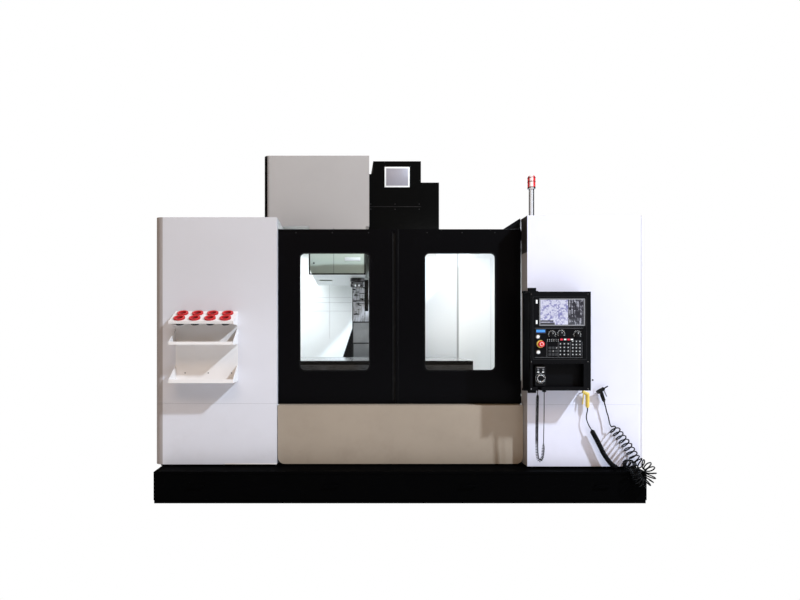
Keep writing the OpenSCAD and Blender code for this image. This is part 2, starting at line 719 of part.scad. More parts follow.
panel_recess = 8;
pocket_x = [1035, 1436];
pocket_z2 = [944, 1127];
dial_places = [[1189, 1359], [1260, 1364], [1387, 1359]];
button_places = [[1077, 1341], [1080, 1220]];
e_stop_place = [1097, 1282];
cord_x = [1088, 1140];
module control_box() color(black) difference() {
    union() {
        control_case();
        // Gland of the handset cord
        translate([cord_x[1], cord_y, control_z[0] - 14]) cylinder(r = 15, h = 15);
    }
    // Recessed screen and recessed key panel
    block([1087, control_front_y - 1, 1425], [1448, control_front_y + panel_recess, 1641]);
    block([1043, control_front_y - 1, 1173], [1437, control_front_y + 3, 1413]);
    // Notch for the handset's cord
    block([cord_x[0] - 14, control_front_y - 1, control_z[0] - 1],
        [cord_x[0] + 14, handset_y, pocket_z2[0] + 1]);
    // Pocket for the handset
    block([pocket_x[0], control_front_y - 1, pocket_z2[0]],
        [pocket_x[1], control_front_y + pocket_floor, pocket_z2[1]]);
    for (z = [control_z[0] - 1, control_z[1] - 41]) translate([swivel[0], swivel[1], z])
        cylinder(r = swivel_r + slide_gap, h = 42);
    for (p = dial_places) rod_y([p[0], control_front_y - 1, p[1]], 4.3, 30);
    for (p = button_places) rod_y([p[0], control_front_y - 1, p[1]], 11.3, 30);
    rod_y([e_stop_place[0], control_front_y - 1, e_stop_place[1]], 12.3, 36);
}

// Case with rounded upright edges
module control_case() translate([0, 0, control_z[0]]) linear_extrude(control_z[1] - control_z[0])
    round_rect([control_x[0], control_front_y], [control_x[1], control_back_y], 6);

module e_stop() color([0.8, 0.08, 0.08]) translate([e_stop_place[0], control_front_y + 3, e_stop_place[1]])
    rotate([90, 0, 0]) {
    translate([0, 0, -16]) cylinder(r = 12, h = 30);
    translate([0, 0, 14]) rotate_extrude() polygon([[0, 0], [19, 0], [25, 4], [25, 12], [21, 17], [0, 19]]);
}

module push_button(p) translate([p[0], control_front_y + 3, p[1]]) rotate([90, 0, 0]) {
    translate([0, 0, -14]) cylinder(r = 11, h = 20);
}
module start_button() color([0.9, 0.9, 0.9]) push_button(button_places[0]);
module stop_button() color([0.9, 0.9, 0.9]) push_button(button_places[1]);

// Fluted dial with a pointer edge
module override_dial(i) color(black) translate([dial_places[i][0], control_front_y + 3 - slide_gap,
    dial_places[i][1]]) rotate([90, 0, 0]) {
    translate([0, 0, -20]) cylinder(r = 4, h = 21);
    difference() {
        rotate_extrude() polygon([[0, 0], [dial_r, 0], [dial_r, 3], [dial_r - 5, 6], [dial_r - 6, 17],
            [0, 18]]);
        for (a = [0 : 30 : 330]) rotate([0, 0, a]) translate([dial_r - 4, 0, 6])
            cylinder(r = 2.2, h = 20, $fn = 16);
    }
}
module dial_1() override_dial(0);
module dial_2() override_dial(1);
module dial_3() override_dial(2);

handset_x = [1062, 1148];
handset_z = [950, 1108];
handset_y = control_front_y + pocket_floor;
handset_t = 38;
cord_y = -1539;
wheel_c = [1105, 1010];
module handset() color(black) difference() {
    along_y(handset_y - handset_t, handset_y)
        round_rect([handset_x[0], handset_z[0]], [handset_x[1], handset_z[1]], 12);
    rod_y([wheel_c[0], handset_y - handset_t - 1, wheel_c[1]], 5.3, 22);
    for (x = [1085, 1125]) rod_y([x, handset_y - handset_t - 1, 1080], 8, 4);
}

module handwheel() color([0.85, 0.85, 0.85])
    translate([wheel_c[0], handset_y - handset_t - slide_gap, wheel_c[1]]) rotate([90, 0, 0]) {
    difference() {
        union() {
            translate([0, 0, -16]) cylinder(r = 5, h = 18);
            cylinder(r = 34, h = 7);
            cylinder(r = 12, h = 12);
        }
        for (a = [0 : 15 : 345]) rotate([0, 0, a]) translate([34.4, 0, -1])
            cylinder(r = 1.6, h = 9, $fn = 13);
    }
    translate([20, 0, 7]) cylinder(r = 6, h = 14);
}

air_at = [1640, 900];
wash_at = [1535, 830];
gun_y = right_front_y - 42;
air_fitting = [1850, 303];
wash_fitting = [1770, 277];
module hose_hangers() color(steel) {
    // Hook for the air gun
    block([air_at[0] - 34, right_front_y - 4, air_at[1] - 50],
        [air_at[0] + 6, right_front_y, air_at[1] + 10]);
    rod_y([air_at[0] - 14, gun_y - 6, air_at[1] - 31.6], 5, right_front_y - gun_y + 6);
    // Hook for the wash gun
    block([wash_at[0] - 66, right_front_y - 4, wash_at[1] + 20],
        [wash_at[0] - 28, right_front_y, wash_at[1] + 70]);
    rod_y([wash_at[0] - 47, gun_y - 6, wash_at[1] + 45], 5, right_front_y - gun_y + 6);
    // Hose fittings in the front panel
    for (p = [air_fitting, wash_fitting]) {
        rod_y([p[0], right_front_y - 22, p[1]], 8, 22);
        translate([p[0], right_front_y, p[1]]) rotate([90, 0, 0]) cylinder(r = 15, h = 10, $fn = 6);
    }
}

module air_gun() color(black) difference() {
    union() {
        // Barrel that points up to the right, and grip that hangs down
        translate([air_at[0], gun_y, air_at[1]]) rotate([0, 60, 0]) translate([0, 0, -30])
            cylinder(r = 15, h = 62);
        translate([air_at[0], gun_y, air_at[1]]) rotate([0, 60, 0]) cylinder(r1 = 7, r2 = 5, h = 70);
        translate([air_at[0] + 2, gun_y, air_at[1] - 2]) rotate([0, 162, 0]) cylinder(r = 14, h = 84);
        translate([air_at[0] + 2, gun_y, air_at[1] - 2]) rotate([0, 162, 0]) cylinder(r = 8, h = 96);
    }
    translate([air_at[0], gun_y - 20, air_at[1]]) rotate([0, 60, 0]) translate([8, 14, 4])
        cube([12, 12, 12]);
}

module air_trigger() color([0.25, 0.25, 0.27]) translate([air_at[0] + 29, gun_y, air_at[1] - 1.8])
    rotate([0, 155, 0])
    translate([-4, -5, 0]) cube([6, 10, 52]);

module wash_gun() color([0.85, 0.75, 0.2]) {
    translate([wash_at[0], gun_y, wash_at[1]]) {
        translate([0, 0, -60]) cylinder(r = 15, h = 108);
        translate([0, 0, -70]) cylinder(r = 10, h = 12);
        translate([0, 0, 40]) rotate([0, -62, 0]) cylinder(r1 = 16, r2 = 12, h = 46);
    }
}

module wash_lever() color([0.8, 0.7, 0.2]) translate([wash_at[0] - 32.05, gun_y, wash_at[1] + 37.9])
    rotate([0, 186, 0]) {
    rod_y([0, -6, 0], 3, 12);
    translate([-3, -6, 0]) cube([6, 12, 80]);
}

module work_lamp() color([0.9, 0.9, 0.85]) {
    y0 = door_front_y + door_t + slide_gap + 62;
    block([-400, y0, header_z[0] + 6], [400, y0 + 34, header_z[0] + 46]);
}

// Telescopic cover over the bed ways: n counts from the largest one
module y_cover(n, y0, l, foot) {
    hw = y_cover_half_w - n * cover_step;
    top = y_cover_top - n * cover_step;
    along_y(y0, y0 + l) difference() {
        translate([-hw, foot]) square([2 * hw, top - foot]);
        translate([-hw + cover_t, foot - 1]) square([2 * hw - 2 * cover_t, top - foot + 1 - cover_t]);
    }
}

y_front_end = saddle_y[0] - y_travel - y_cover_l - 2;
y_step = (saddle_y[0] - y_cover_l - y_front_end) / 3;
y_rear_fixed = saddle_y[1] + y_travel + 2;
module saddle_covers() color(steel) {
    y_cover(0, saddle_y[0] - y_cover_l, y_cover_l, bed_top + cover_gap);
    y_cover(0, saddle_y[1], y_cover_rear_l, bed_top + cover_gap);
}
module y_cover_2() color(steel) y_cover(1, saddle_y[0] - y_cover_l - y_step, y_cover_l, bed_top + cover_gap);
module y_cover_3() color(steel) y_cover(2, saddle_y[0] - y_cover_l - 2 * y_step, y_cover_l,
    bed_top + cover_gap);
module y_cover_rear() color(steel) y_cover(1, (saddle_y[1] + y_rear_fixed) / 2, y_cover_rear_l,
    bed_top + cover_gap);

// Telescopic cover over the column ways
module z_cover(n, z0, l, rear = column_face_y - 20) {
    hw = z_cover_half_w - n * cover_step;
    y0 = z_cover_y + n * cover_step;
    translate([0, 0, z0]) linear_extrude(l) difference() {
        translate([-hw, y0]) square([2 * hw, rear - y0]);
        translate([-hw + cover_t, y0 + cover_t]) square([2 * hw - 2 * cover_t, 100]);
    }
}

z_cover_top_z = slide_bottom - 251;
module z_cover_1() color(steel) z_cover(0, z_cover_top_z, slide_bottom - z_cover_top_z);
module z_cover_2() color(steel) z_cover(1, z_cover_top_z - z_cover_pitch, z_cover_l);
module z_cover_3() color(steel) z_cover(2, z_cover_top_z - 2 * z_cover_pitch, z_cover_l);

module way_cover_ends() color(steel) {
    y_cover(3, y_front_end, y_cover_l, bed_top);
    y_cover(2, y_rear_fixed, y_cover_rear_l, bed_top);
    z_cover(3, 790, z_cover_top_z - 3 * z_cover_pitch + z_cover_l - 790, column_face_y);
}

module saddle() color(dark_grey) difference() {
    lip = 24;
    union() {
        block([-saddle_half_x, saddle_y[0], 700], [saddle_half_x, saddle_y[1], saddle_top - way_h]);
        // Slide blocks on the bed ways
        block([-bed_way_x - 60, saddle_y[0], way_top + slide_gap], [bed_way_x + 60, saddle_y[1], 700]);
        both_sides() block([bed_way_x + slide_gap, saddle_y[0], way_top - lip],
            [bed_way_x + 60, saddle_y[1], 700]);
        // Ways for the table
        for (s = [-1, 1]) along_x(-saddle_half_x, saddle_half_x)
            translate([spindle_y + s * (saddle_way_y + way_w / 2) - way_w / 2, saddle_top - way_h - 1])
                square([way_w, way_h + 1]);
        // Drive motor at the right end
        rod_x([saddle_half_x, spindle_y, 800], 85, 30);
    }
    // Ribbed ends that taper upwards
    pocket_w = (saddle_half_x - bed_way_x - 200) / 2;
    both_sides() for (x = [bed_way_x + 120, bed_way_x + 160 + pocket_w])
        block([x, saddle_y[0] + 40, 699], [x + pocket_w, saddle_y[1] - 40, 860]);
    both_sides() along_y(saddle_y[0] - 1, saddle_y[1] + 1) polygon([
        [saddle_half_x + 1, 699], [saddle_half_x + 1, 780], [bed_way_x + 400, 699]]);
}

module table() color(steel) difference() {
    union() {
        block([table_x[0], table_y[0], slab_bottom], [table_x[1], table_y[1], table_top]);
        // Slide body on the saddle ways
        block([table_rest_x - 480, spindle_y - 255, saddle_top + slide_gap],
            [table_rest_x + 480, spindle_y + 255, slab_bottom]);
    }
    // Slots for clamping bolts
    for (i = [-2 : 2]) along_x(table_x[0] - 1, table_x[1] + 1) translate([spindle_y + i * slot_pitch, 0]) {
        translate([-slot_neck / 2, table_top - 42]) square([slot_neck, 43]);
        translate([-19, table_top - 42]) square([38, 17]);
    }
    // Coolant gutter around the working face
    for (y = [table_y[0] + 12, table_y[1] - 42])
        block([table_x[0] + 12, y, table_top - 16], [table_x[1] - 12, y + 30, table_top + 1]);
}

module headstock() color(cool_white) difference() {
    union() {
        // Slide on the column ways, with lips on their outer sides
        block([-slide_half_w, slide_front_y, slide_bottom],
            [slide_half_w, column_way_y - slide_gap, slide_top]);
        both_sides() block([column_way_x + slide_gap, slide_front_y, slide_bottom],
            [slide_half_w, column_way_y + 30, slide_top]);
        // Arm of the head, deeper at the slide
        along_x(-head_half_w, head_half_w) polygon([
            [slide_front_y, slide_bottom + 25], [slide_front_y, 2600], [300, 2560], [-470, 2400],
                [-470, head_bottom + 60],
            [-410, head_bottom], [spindle_y + 160, head_bottom], [spindle_y + 260, head_bottom + 40]]);
        // Side ribs
        both_sides() block([head_half_w, hood_rear_y, 2060], [slide_half_w - 20, slide_front_y, 2560]);
        // Bosses that carry the hood
        block([hood_x[0] + sheet, -200, 2300], [-head_half_w, 200, 2360]);
        block([head_half_w, -200, 2300], [hood_x[1] - sheet, 200, 2360]);
        // Spindle cartridge
        translate([0, spindle_y, nose_z + 28]) cylinder(r1 = 98, r2 = 118, h = 40);
        translate([0, spindle_y, nose_z + 68]) cylinder(r = 118, h = head_bottom - nose_z - 60);
        // Coolant nozzle ring
        translate([0, spindle_y, head_bottom - 26]) cylinder(r = 135, h = 27);
    }
    translate([0, spindle_y, nose_z]) cylinder(r = nose_r + slide_gap, h = 350);
}

taper_r = 34.9;
taper_l = 102;
module spindle() color(steel) translate([0, spindle_y, nose_z]) difference() {
    union() {
        cylinder(r = nose_r, h = 340);
        cylinder(r = nose_r + 24, h = 27.7);
    }
    // Steep taper for the tool holder, and the drawbar hole above it
    translate([0, 0, -0.001]) cylinder(r1 = taper_r, r2 = taper_r - taper_l * 7 / 48, h = taper_l);
    cylinder(r = 14, h = 320);
    // Drive keys' slots
    for (s = [-1, 1]) translate([s * 52 - 18, -12.7, -1]) cube([36, 25.4, 13]);
}

hood_low = 2290;
hood_rear_y = magazine_y[1] + 15;
module head_cover() color(black) {
    // Hood over the spindle motor: a narrower crown on a wider body
    difference() {
        union() {
            block([hood_x[0], hood_front_y, hood_low], [hood_x[1], hood_rear_y, 2900]);
            block([hood_x[0] + 39, hood_front_y, 2890], [hood_x[1], hood_rear_y, hood_top]);
            along_y(hood_front_y, hood_rear_y) polygon([[hood_x[0], 2890], [hood_x[0] + 39, 2890],
                [hood_x[0] + 39, 2925], [hood_x[0] + 14, 2912], [hood_x[0], 2912]]);
            // Side box for hoses and cables
            block([hood_x[1], hood_front_y + 90, 2360], [488, 300, 2854]);
        }
        // Hollow inside, open below over the head casting
        block([hood_x[0] + sheet, hood_front_y + sheet, hood_low - 1],
            [hood_x[1] - sheet, hood_rear_y + 1, 2886]);
        block([hood_x[0] + 39 + sheet, hood_front_y + sheet, 2880],
            [hood_x[1] - sheet, hood_rear_y + 1, hood_top - sheet]);
    }
}

// Door leaf: a skin with folded edges round the outside and round the window
module door_leaf(x0, x1, window) {
    fold = 45;
    difference() {
        along_y(door_front_y, door_front_y + door_t) difference() {
            translate([x0, door_bottom]) square([x1 - x0, door_top - door_bottom]);
            round_rect([window[0], window_bottom], [window[1], window_top], window_r);
        }
        along_y(door_front_y + sheet, door_front_y + door_t + 1) difference() {
            translate([x0 + fold, door_bottom + fold])
                square([x1 - x0 - 2 * fold, door_top - door_bottom - 2 * fold]);
            round_rect([window[0] - fold, window_bottom - fold], [window[1] + fold, window_top + fold],
                window_r + fold);
        }
        // Seat of the glass, behind the skin
        along_y(door_front_y + 12, door_front_y + door_t + 1)
            round_rect([window[0] - 20, window_bottom - 20], [window[1] + 20, window_top + 20],
                window_r + 20);
    }
}

grip_x = [-36, -8];
module door_left() color(black) difference() {
    door_leaf(left_inner_x - door_lap, door_split_x - 1, left_window);
    // Full-height grip channel beside the meeting edge
    block([grip_x[0], door_front_y - 1, door_bottom + 20], [grip_x[1], door_front_y + 16, door_top - 20]);
}
module door_right() color(black) door_leaf(door_split_x + 1, right_inner_x + door_lap, right_window);

module window_glass(window) along_y(door_front_y + 12, door_front_y + 12 + glass_t)
    round_rect([window[0] - 20 + slide_gap, window_bottom - 20 + slide_gap],
        [window[1] + 20 - slide_gap, window_top + 20 - slide_gap], window_r + 20);
module glass_left() color([0.75, 0.85, 0.85]) window_glass(left_window);
module glass_right() color([0.75, 0.85, 0.85]) window_glass(right_window);

// Hose and cord routes, chosen by hand
wash_hose_r = 6;
wash_coil_r = 19;
air_hose_r = 5;
air_coil_r = 42;
cord_r = 3.5;
curl_r = 11;
wash_start = [1535, -1422, 760];
wash_route = [wash_start, [1534, -1422, 735], [1527, -1423, 705], [1526, -1424, 670], [1536, -1426, 635],
    [1550, -1428, 605], [1562, -1430, 585]];
wash_coil_route = [[1562, -1430, 585], [1578, -1431, 552], [1598, -1432, 515], [1618, -1433, 475],
    [1640, -1434, 430],
    [1662, -1436, 385], [1688, -1438, 345], [1714, -1440, 312], [1740, -1438, 290], [1760, -1426, 279],
        [1770, -1402, 277]];
air_start = [1672, -1422, 807];
air_route = [air_start, [1676, -1422, 790], [1684, -1422, 760], [1692, -1422, 725], [1703, -1423, 690],
    [1710, -1424, 655],
    [1715, -1426, 630], [1722, -1430, 612]];
air_coil_route = [[1722, -1430, 612], [1755, -1432, 575], [1790, -1434, 530], [1825, -1436, 485],
    [1860, -1438, 435],
    [1890, -1440, 385], [1918, -1446, 342], [1948, -1466, 314], [1974, -1504, 308], [1978, -1554, 272],
        [1962, -1562, 220],
    [1918, -1566, 186], [1872, -1562, 214], [1854, -1556, 268], [1850, -1508, 308], [1850, -1460, 306],
        [1850, -1402, 303]];
cord_route = [[1088, -1539, 950], [1088, -1539, 915], [1087, -1538, 860], [1086, -1535, 780],
    [1086, -1530, 680],
    [1086, -1526, 580], [1087, -1523, 480], [1090, -1521, 410], [1098, -1520, 366], [1113, -1520, 350],
        [1128, -1520, 366],
    [1136, -1521, 410], [1140, -1523, 480], [1141, -1526, 580], [1142, -1530, 680], [1141, -1535, 780],
        [1140, -1538, 860],
    [1140, -1539, 902]];
module wash_hose() color(black) tube(wash_route, wash_hose_r);
module wash_coil() color(black) tube(wash_coil_route, wash_coil_r, 10);
module air_hose() color(black) tube(air_route, air_hose_r);
module air_coil() color(black) tube(air_coil_route, air_coil_r, 10);
module handset_cord() color(black) tube(cord_route, curl_r, 8);

bed();
levelling_feet();
column();
coolant_tank();
plinth();
left_panels();
right_panels();
rear_panels();
front_apron();
door_header();
splash_guard();
magazine_cover();
changer_frame();
electrical_cabinet();
tool_rack();
tool_cups();
light_mast();
light_lens();
pendant_bracket();
hose_hangers();
work_lamp();
way_cover_ends();
saddle();
table();
headstock();
head_cover();
z_cover_1();
z_cover_2();
z_cover_3();
saddle_covers();
y_cover_2();
y_cover_3();
y_cover_rear();
electrical_door();
spindle();
tool_disc();
arm_shaft();
change_arm();
door_left();
door_right();
glass_left();
glass_right();
control_box();
e_stop();
start_button();
stop_button();
dial_1();
dial_2();
dial_3();
handset();
handwheel();
air_gun();
air_trigger();
wash_gun();
wash_lever();
wash_hose();
wash_coil();
air_hose();
air_coil();
handset_cord();
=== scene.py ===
import math

import bmesh
import bpy
from mathutils import Matrix, Vector


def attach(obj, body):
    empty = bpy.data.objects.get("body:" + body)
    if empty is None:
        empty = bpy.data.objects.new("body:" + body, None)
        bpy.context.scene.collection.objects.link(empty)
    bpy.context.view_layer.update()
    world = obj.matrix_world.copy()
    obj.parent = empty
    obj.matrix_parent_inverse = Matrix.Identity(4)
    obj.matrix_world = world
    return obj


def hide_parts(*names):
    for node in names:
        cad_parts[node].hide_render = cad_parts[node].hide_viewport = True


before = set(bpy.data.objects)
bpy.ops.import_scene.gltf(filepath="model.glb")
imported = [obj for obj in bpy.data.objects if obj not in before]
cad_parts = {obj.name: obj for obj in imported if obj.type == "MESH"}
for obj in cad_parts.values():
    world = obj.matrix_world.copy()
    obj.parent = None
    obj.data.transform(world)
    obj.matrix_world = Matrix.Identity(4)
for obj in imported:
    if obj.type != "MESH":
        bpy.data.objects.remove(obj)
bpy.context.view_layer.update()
scene = bpy.context.scene
scene.view_settings.view_transform = "Standard"

# The operator stands on the -Y side
FRONT = (0, -1, 0)
UP = (0, 0, 1)

# Surfaces of the part that the pieces below sit on, in metres
LEFT_Y = -1.31  # front of the left cabinet
RIGHT_Y = -1.38  # front of the right cabinet
DOOR_Y = -1.2  # front of the doors
TANK_Y = -1.5  # front of the coolant tank
HOOD_Y = -0.55  # front of the motor hood
CHANGER_Y = -0.85  # front of the magazine cover's lower part
GUARD_Y = 0.528  # front of the splash guard's rear wall
FACE = -1.58  # front of the control box
PANEL = FACE + 0.003  # floor of its key panel
HANDSET_Y = -1.558  # front of the handset
Z_COVER_Y = 0.5378  # front of the column's outermost slide cover
CABINET_Y = 1.6  # outside of the electrical cabinet's door
ROOF_Z = 2.336  # roof of the enclosure

# Places on the part
WINDOWS = (("door_left", (-0.830, -0.229)), ("door_right", (0.237, 0.848)))
WINDOW_Z = (1.045, 2.055)
GRIP_Z = (0.784, 2.234)
DIALS = ((1.189, 1.359), (1.260, 1.364), (1.387, 1.359))
E_STOP = (1.097, PANEL, 1.282)
WHEEL_X, WHEEL_Z = 1.105, 1.010
CUP_TILT = math.radians(24)
CUP_SEAT_Z = 1.55  # height at which the tilted cups' seats meet the cabinet's front
SPINDLE_Y = -0.29
NOZZLE_RING = 0.105
BOLT_RING = 0.076
BEACON = (1.153, -1.2, 0)
COVER_STEP = 0.0034  # a cover's sheet and the gap to the next one inside it

NEAR = 1e-6
SHARP_ANGLE = math.radians(35)

# The photograph's viewpoint: level, with the picture shifted instead of the camera tilted
camera = bpy.data.objects.new("camera", bpy.data.cameras.new("camera"))
scene.collection.objects.link(camera)
camera.location = (-0.443, -5.95, 1.377)
camera.rotation_euler = (math.pi / 2, 0, 0)
camera.data.sensor_width = 36
camera.data.lens = 25.0
camera.data.shift_x = 0.069
camera.data.shift_y = 0.04
scene.camera = camera


class Val:
    """A socket in a material's node tree. Arithmetic on it makes Math nodes."""

    def __init__(self, mat, socket):
        self.mat = mat
        self.socket = socket

    def math(self, operation, a, b=0.0):
        node = self.mat.tree.nodes.new("ShaderNodeMath")
        node.operation = operation
        self.mat.feed(node.inputs[0], a)
        self.mat.feed(node.inputs[1], b)
        return Val(self.mat, node.outputs[0])

    def __add__(self, other):
        return self.math("ADD", self, other)

    def __sub__(self, other):
        return self.math("SUBTRACT", self, other)

    def __mul__(self, other):
        return self.math("MULTIPLY", self, other)

    def __gt__(self, other):
        return self.math("GREATER_THAN", self, other)

    def __lt__(self, other):
        return self.math("LESS_THAN", self, other)

    def __or__(self, other):
        return self.math("MAXIMUM", self, other)

    def frac(self):
        return self.math("FRACT", self)

    def absolute(self):
        return self.math("ABSOLUTE", self)

    def ramp(self, lo, hi, to_lo=0.0, to_hi=1.0):
        """A smooth step from to_lo, at and below lo, to to_hi, at and above hi."""
        ins = {"Value": self, "From Min": lo, "From Max": hi, "To Min": to_lo, "To Max": to_hi}
        return self.mat.node("ShaderNodeMapRange", ins, interpolation_type="SMOOTHSTEP")


class Mat:
    """A procedural material around one Principled shader."""

    def __init__(self, name):
        self.data = bpy.data.materials.new(name)
        self.data.use_nodes = True
        self.tree = self.data.node_tree
        self.shader = self.tree.nodes["Principled BSDF"]
        self.place = self.node("ShaderNodeTexCoord", out="Object")
        split = self.tree.nodes.new("ShaderNodeSeparateXYZ")
        self.feed(split.inputs[0], self.place)
        self.x, self.y, self.z = (Val(self, split.outputs[i]) for i in range(3))
        facing = self.tree.nodes.new("ShaderNodeSeparateXYZ")
        self.feed(facing.inputs[0], self.node("ShaderNodeNewGeometry", out="Normal"))
        self.across, self.up = Val(self, facing.outputs[0]), Val(self, facing.outputs[2])

    def feed(self, socket, value):
        if isinstance(value, Val):
            self.tree.links.new(value.socket, socket)
        elif hasattr(value, "__len__") and len(value) == 3 and len(socket.default_value) == 4:
            socket.default_value = (*value, 1)
        else:
            socket.default_value = value

    def node(self, kind, ins=None, out=0, **settings):
        node = self.tree.nodes.new(kind)
        for key, value in settings.items():
            setattr(node, key, value)
        for key, value in (ins or {}).items():
            self.feed(node.inputs[key], value)
        return Val(self, node.outputs[out])

    def noise(self, scale, detail=3.0, stretch=(1, 1, 1), rough=0.5):
        where = self.node("ShaderNodeVectorMath", {0: self.place, 1: stretch}, operation="MULTIPLY")
        ins = {"Vector": where, "Scale": scale, "Detail": detail, "Roughness": rough}
        return self.node("ShaderNodeTexNoise", ins)

    def mix(self, a, b, factor):
        node = self.tree.nodes.new("ShaderNodeMix")
        node.data_type = "RGBA"
        self.feed(node.inputs[0], factor)
        self.feed(node.inputs[6], a)
        self.feed(node.inputs[7], b)
        return Val(self, node.outputs[2])

    def shade(self, base, shades):
        """Lays tints over a base colour. Each comes with a function that gives its amount."""
        for tint, amount in shades:
            base = self.mix(base, tint, amount(self))
        return base

    def bump(self, height, strength):
        return self.node("ShaderNodeBump", {"Strength": strength, "Distance": 0.001, "Height": height})

    def set(self, **sockets):
        for key, value in sockets.items():
            self.feed(self.shader.inputs[key.replace("_", " ")], value)

    def surface(self, shader):
        self.tree.links.new(shader.socket, self.tree.nodes["Material Output"].inputs[0])


DUST_FADES_Z = (0.15, 1.1)


def paint(name, color, rough=0.4, dust=0.2, peel=0.08, dust_color=(0.3, 0.27, 0.24), cloud=0.06,
          shine=0.4, shades=()):
    """Powder-coated sheet metal: fine orange peel, faint clouding and dust that gathers low down."""
    m = Mat(name)
    clouds = m.noise(1.7, 4)
    grime = m.z.ramp(*DUST_FADES_Z, 1, 0) * m.noise(5, 6, rough=0.65).ramp(0.42, 0.75)
    base = m.mix(color, [c * 0.8 for c in color], clouds.ramp(0.3, 0.75) * (cloud * 4))
    base = m.shade(m.mix(base, dust_color, grime * dust), shades)
    scuffs = m.noise(38, 5, (1, 1, 0.25)).ramp(0.62, 0.78)
    m.set(Base_Color=base, Specular_IOR_Level=shine,
          Roughness=clouds * 0.1 + scuffs * 0.12 + grime * 0.2 + (rough - 0.05),
          Normal=m.bump(m.noise(420, 2) + m.noise(2.2, 1) * 1.5, peel))
    return m


def metal(name, color, rough, stretch, scale, stain, metallic=0.9, shades=()):
    """Ground or brushed metal with stretched scratches and faint coolant stains."""
    m = Mat(name)
    brush = m.noise(scale, 6, stretch, 0.7)
    stains = m.noise(4, 6, rough=0.6).ramp(0.45, 0.75)
    base = m.mix(color, [c * 0.72 for c in color], brush)
    base = m.shade(m.mix(base, (0.22, 0.2, 0.17), stains * stain), shades)
    m.set(Base_Color=base, Metallic=metallic, Roughness=brush * 0.16 + stains * 0.15 + (rough - 0.08),
          Normal=m.bump(brush, 0.12))
    return m


def plastic(name, color, rough, grain=500, depth=0.15, shine=0.4):
    """Moulded plastic with fine grain and rubbed patches."""
    m = Mat(name)
    rubbed = m.noise(24, 5).ramp(0.5, 0.8)
    m.set(Base_Color=m.mix(color, [min(1, c * 1.35 + 0.02) for c in color], rubbed * 0.3),
          Roughness=rubbed * -0.12 + m.noise(9, 3) * 0.08 + rough,
          Normal=m.bump(m.noise(grain, 2), depth), Specular_IOR_Level=shine)
    return m


def table_material():
    """A scraped top painted bright as light, and ground fronts painted dark as shade, with a paler lower
    band.
    """
    m = Mat("table_steel")
    brush = m.noise(50, 6, (0.2, 6, 6), 0.7)
    stains = m.noise(4, 6, rough=0.6).ramp(0.45, 0.75)
    band = m.z.ramp(1.064, 1.068, 1, 0)
    front = m.mix((0.006, 0.006, 0.0065), (0.13, 0.13, 0.135), band * brush.ramp(0.2, 0.7))
    top = m.mix((0.88, 0.89, 0.9), (0.6, 0.6, 0.6), stains * brush)
    level = m.up > 0.5
    m.set(Base_Color=m.mix(front, top, level), Metallic=level * 0.8, Specular_IOR_Level=0.08,
          Roughness=stains * 0.1 + brush * 0.1 + level * -0.28 + 0.42, Normal=m.bump(brush, 0.1))
    return m


def cup_material():
    """Red cups on a dark shank: everything under the tilted seat is dark."""
    m = Mat("cup_plastic")
    below = (m.z - CUP_SEAT_Z + (m.y * -1 + LEFT_Y) * math.tan(CUP_TILT)) < -0.0006
    red = m.mix((0.55, 0.008, 0.012), (0.28, 0.003, 0.006), m.noise(30, 4))
    m.set(Base_Color=m.mix(red, (0.012, 0.012, 0.013), below), Roughness=m.noise(40, 3) * 0.15 + 0.4,
          Normal=m.bump(m.noise(350, 2), 0.1))
    return m


def lens_material():
    """Ribbed red lens with a painted pale highlight a little left of its middle."""
    m = Mat("lens_red")
    ribs = (m.z * 160).frac().ramp(0.1, 0.9)
    rim = (m.across + 0.3).absolute().ramp(0.24, 0.63)
    body = m.mix((0.9, 0.72, 0.7), (0.62, 0.006, 0.012), rim)
    m.set(Base_Color=m.mix(body, (0.4, 0.004, 0.008), ribs * rim), Roughness=ribs * 0.1 + 0.12,
          Normal=m.bump(ribs, 0.4), Emission_Color=body, Emission_Strength=0.2)
    return m


def mast_material():
    """Polished mast with painted reflections: the same highlight between dark sides."""
    m = Mat("mast_chrome")
    rim = (m.across + 0.3).absolute().ramp(0.39, 0.71)
    along = (1, 1, 0.05)
    m.set(Base_Color=m.mix((0.85, 0.86, 0.88), (0.004, 0.004, 0.005), rim), Metallic=0.3,
          Roughness=m.noise(60, 4, along) * 0.1 + 0.16, Normal=m.bump(m.noise(300, 2, along), 0.05))
    return m


def lamp_material():
    """The work lamp's lit tube behind a ribbed cover."""
    m = Mat("lamp_glow")
    ribs = (m.x * 60).frac().ramp(0.05, 0.3)
    m.set(Base_Color=(0.9, 0.9, 0.9), Roughness=ribs * 0.1 + 0.2, Emission_Strength=3.0,
          Emission_Color=m.mix((0.8, 0.88, 1), (1, 1, 1), ribs))
    return m


def display_material():
    """A small blue display with lit segments above a dark foot line."""
    m = Mat("blue_display")
    segments = (m.x * 115).frac().ramp(0.2, 0.35) * m.z.ramp(1.374, 1.378)
    m.set(Base_Color=(0.01, 0.02, 0.06), Roughness=segments * 0.05 + 0.2, Emission_Strength=1.0,
          Emission_Color=m.mix((0.0, 0.05, 0.3), (0.1, 0.45, 1.0), segments))
    return m


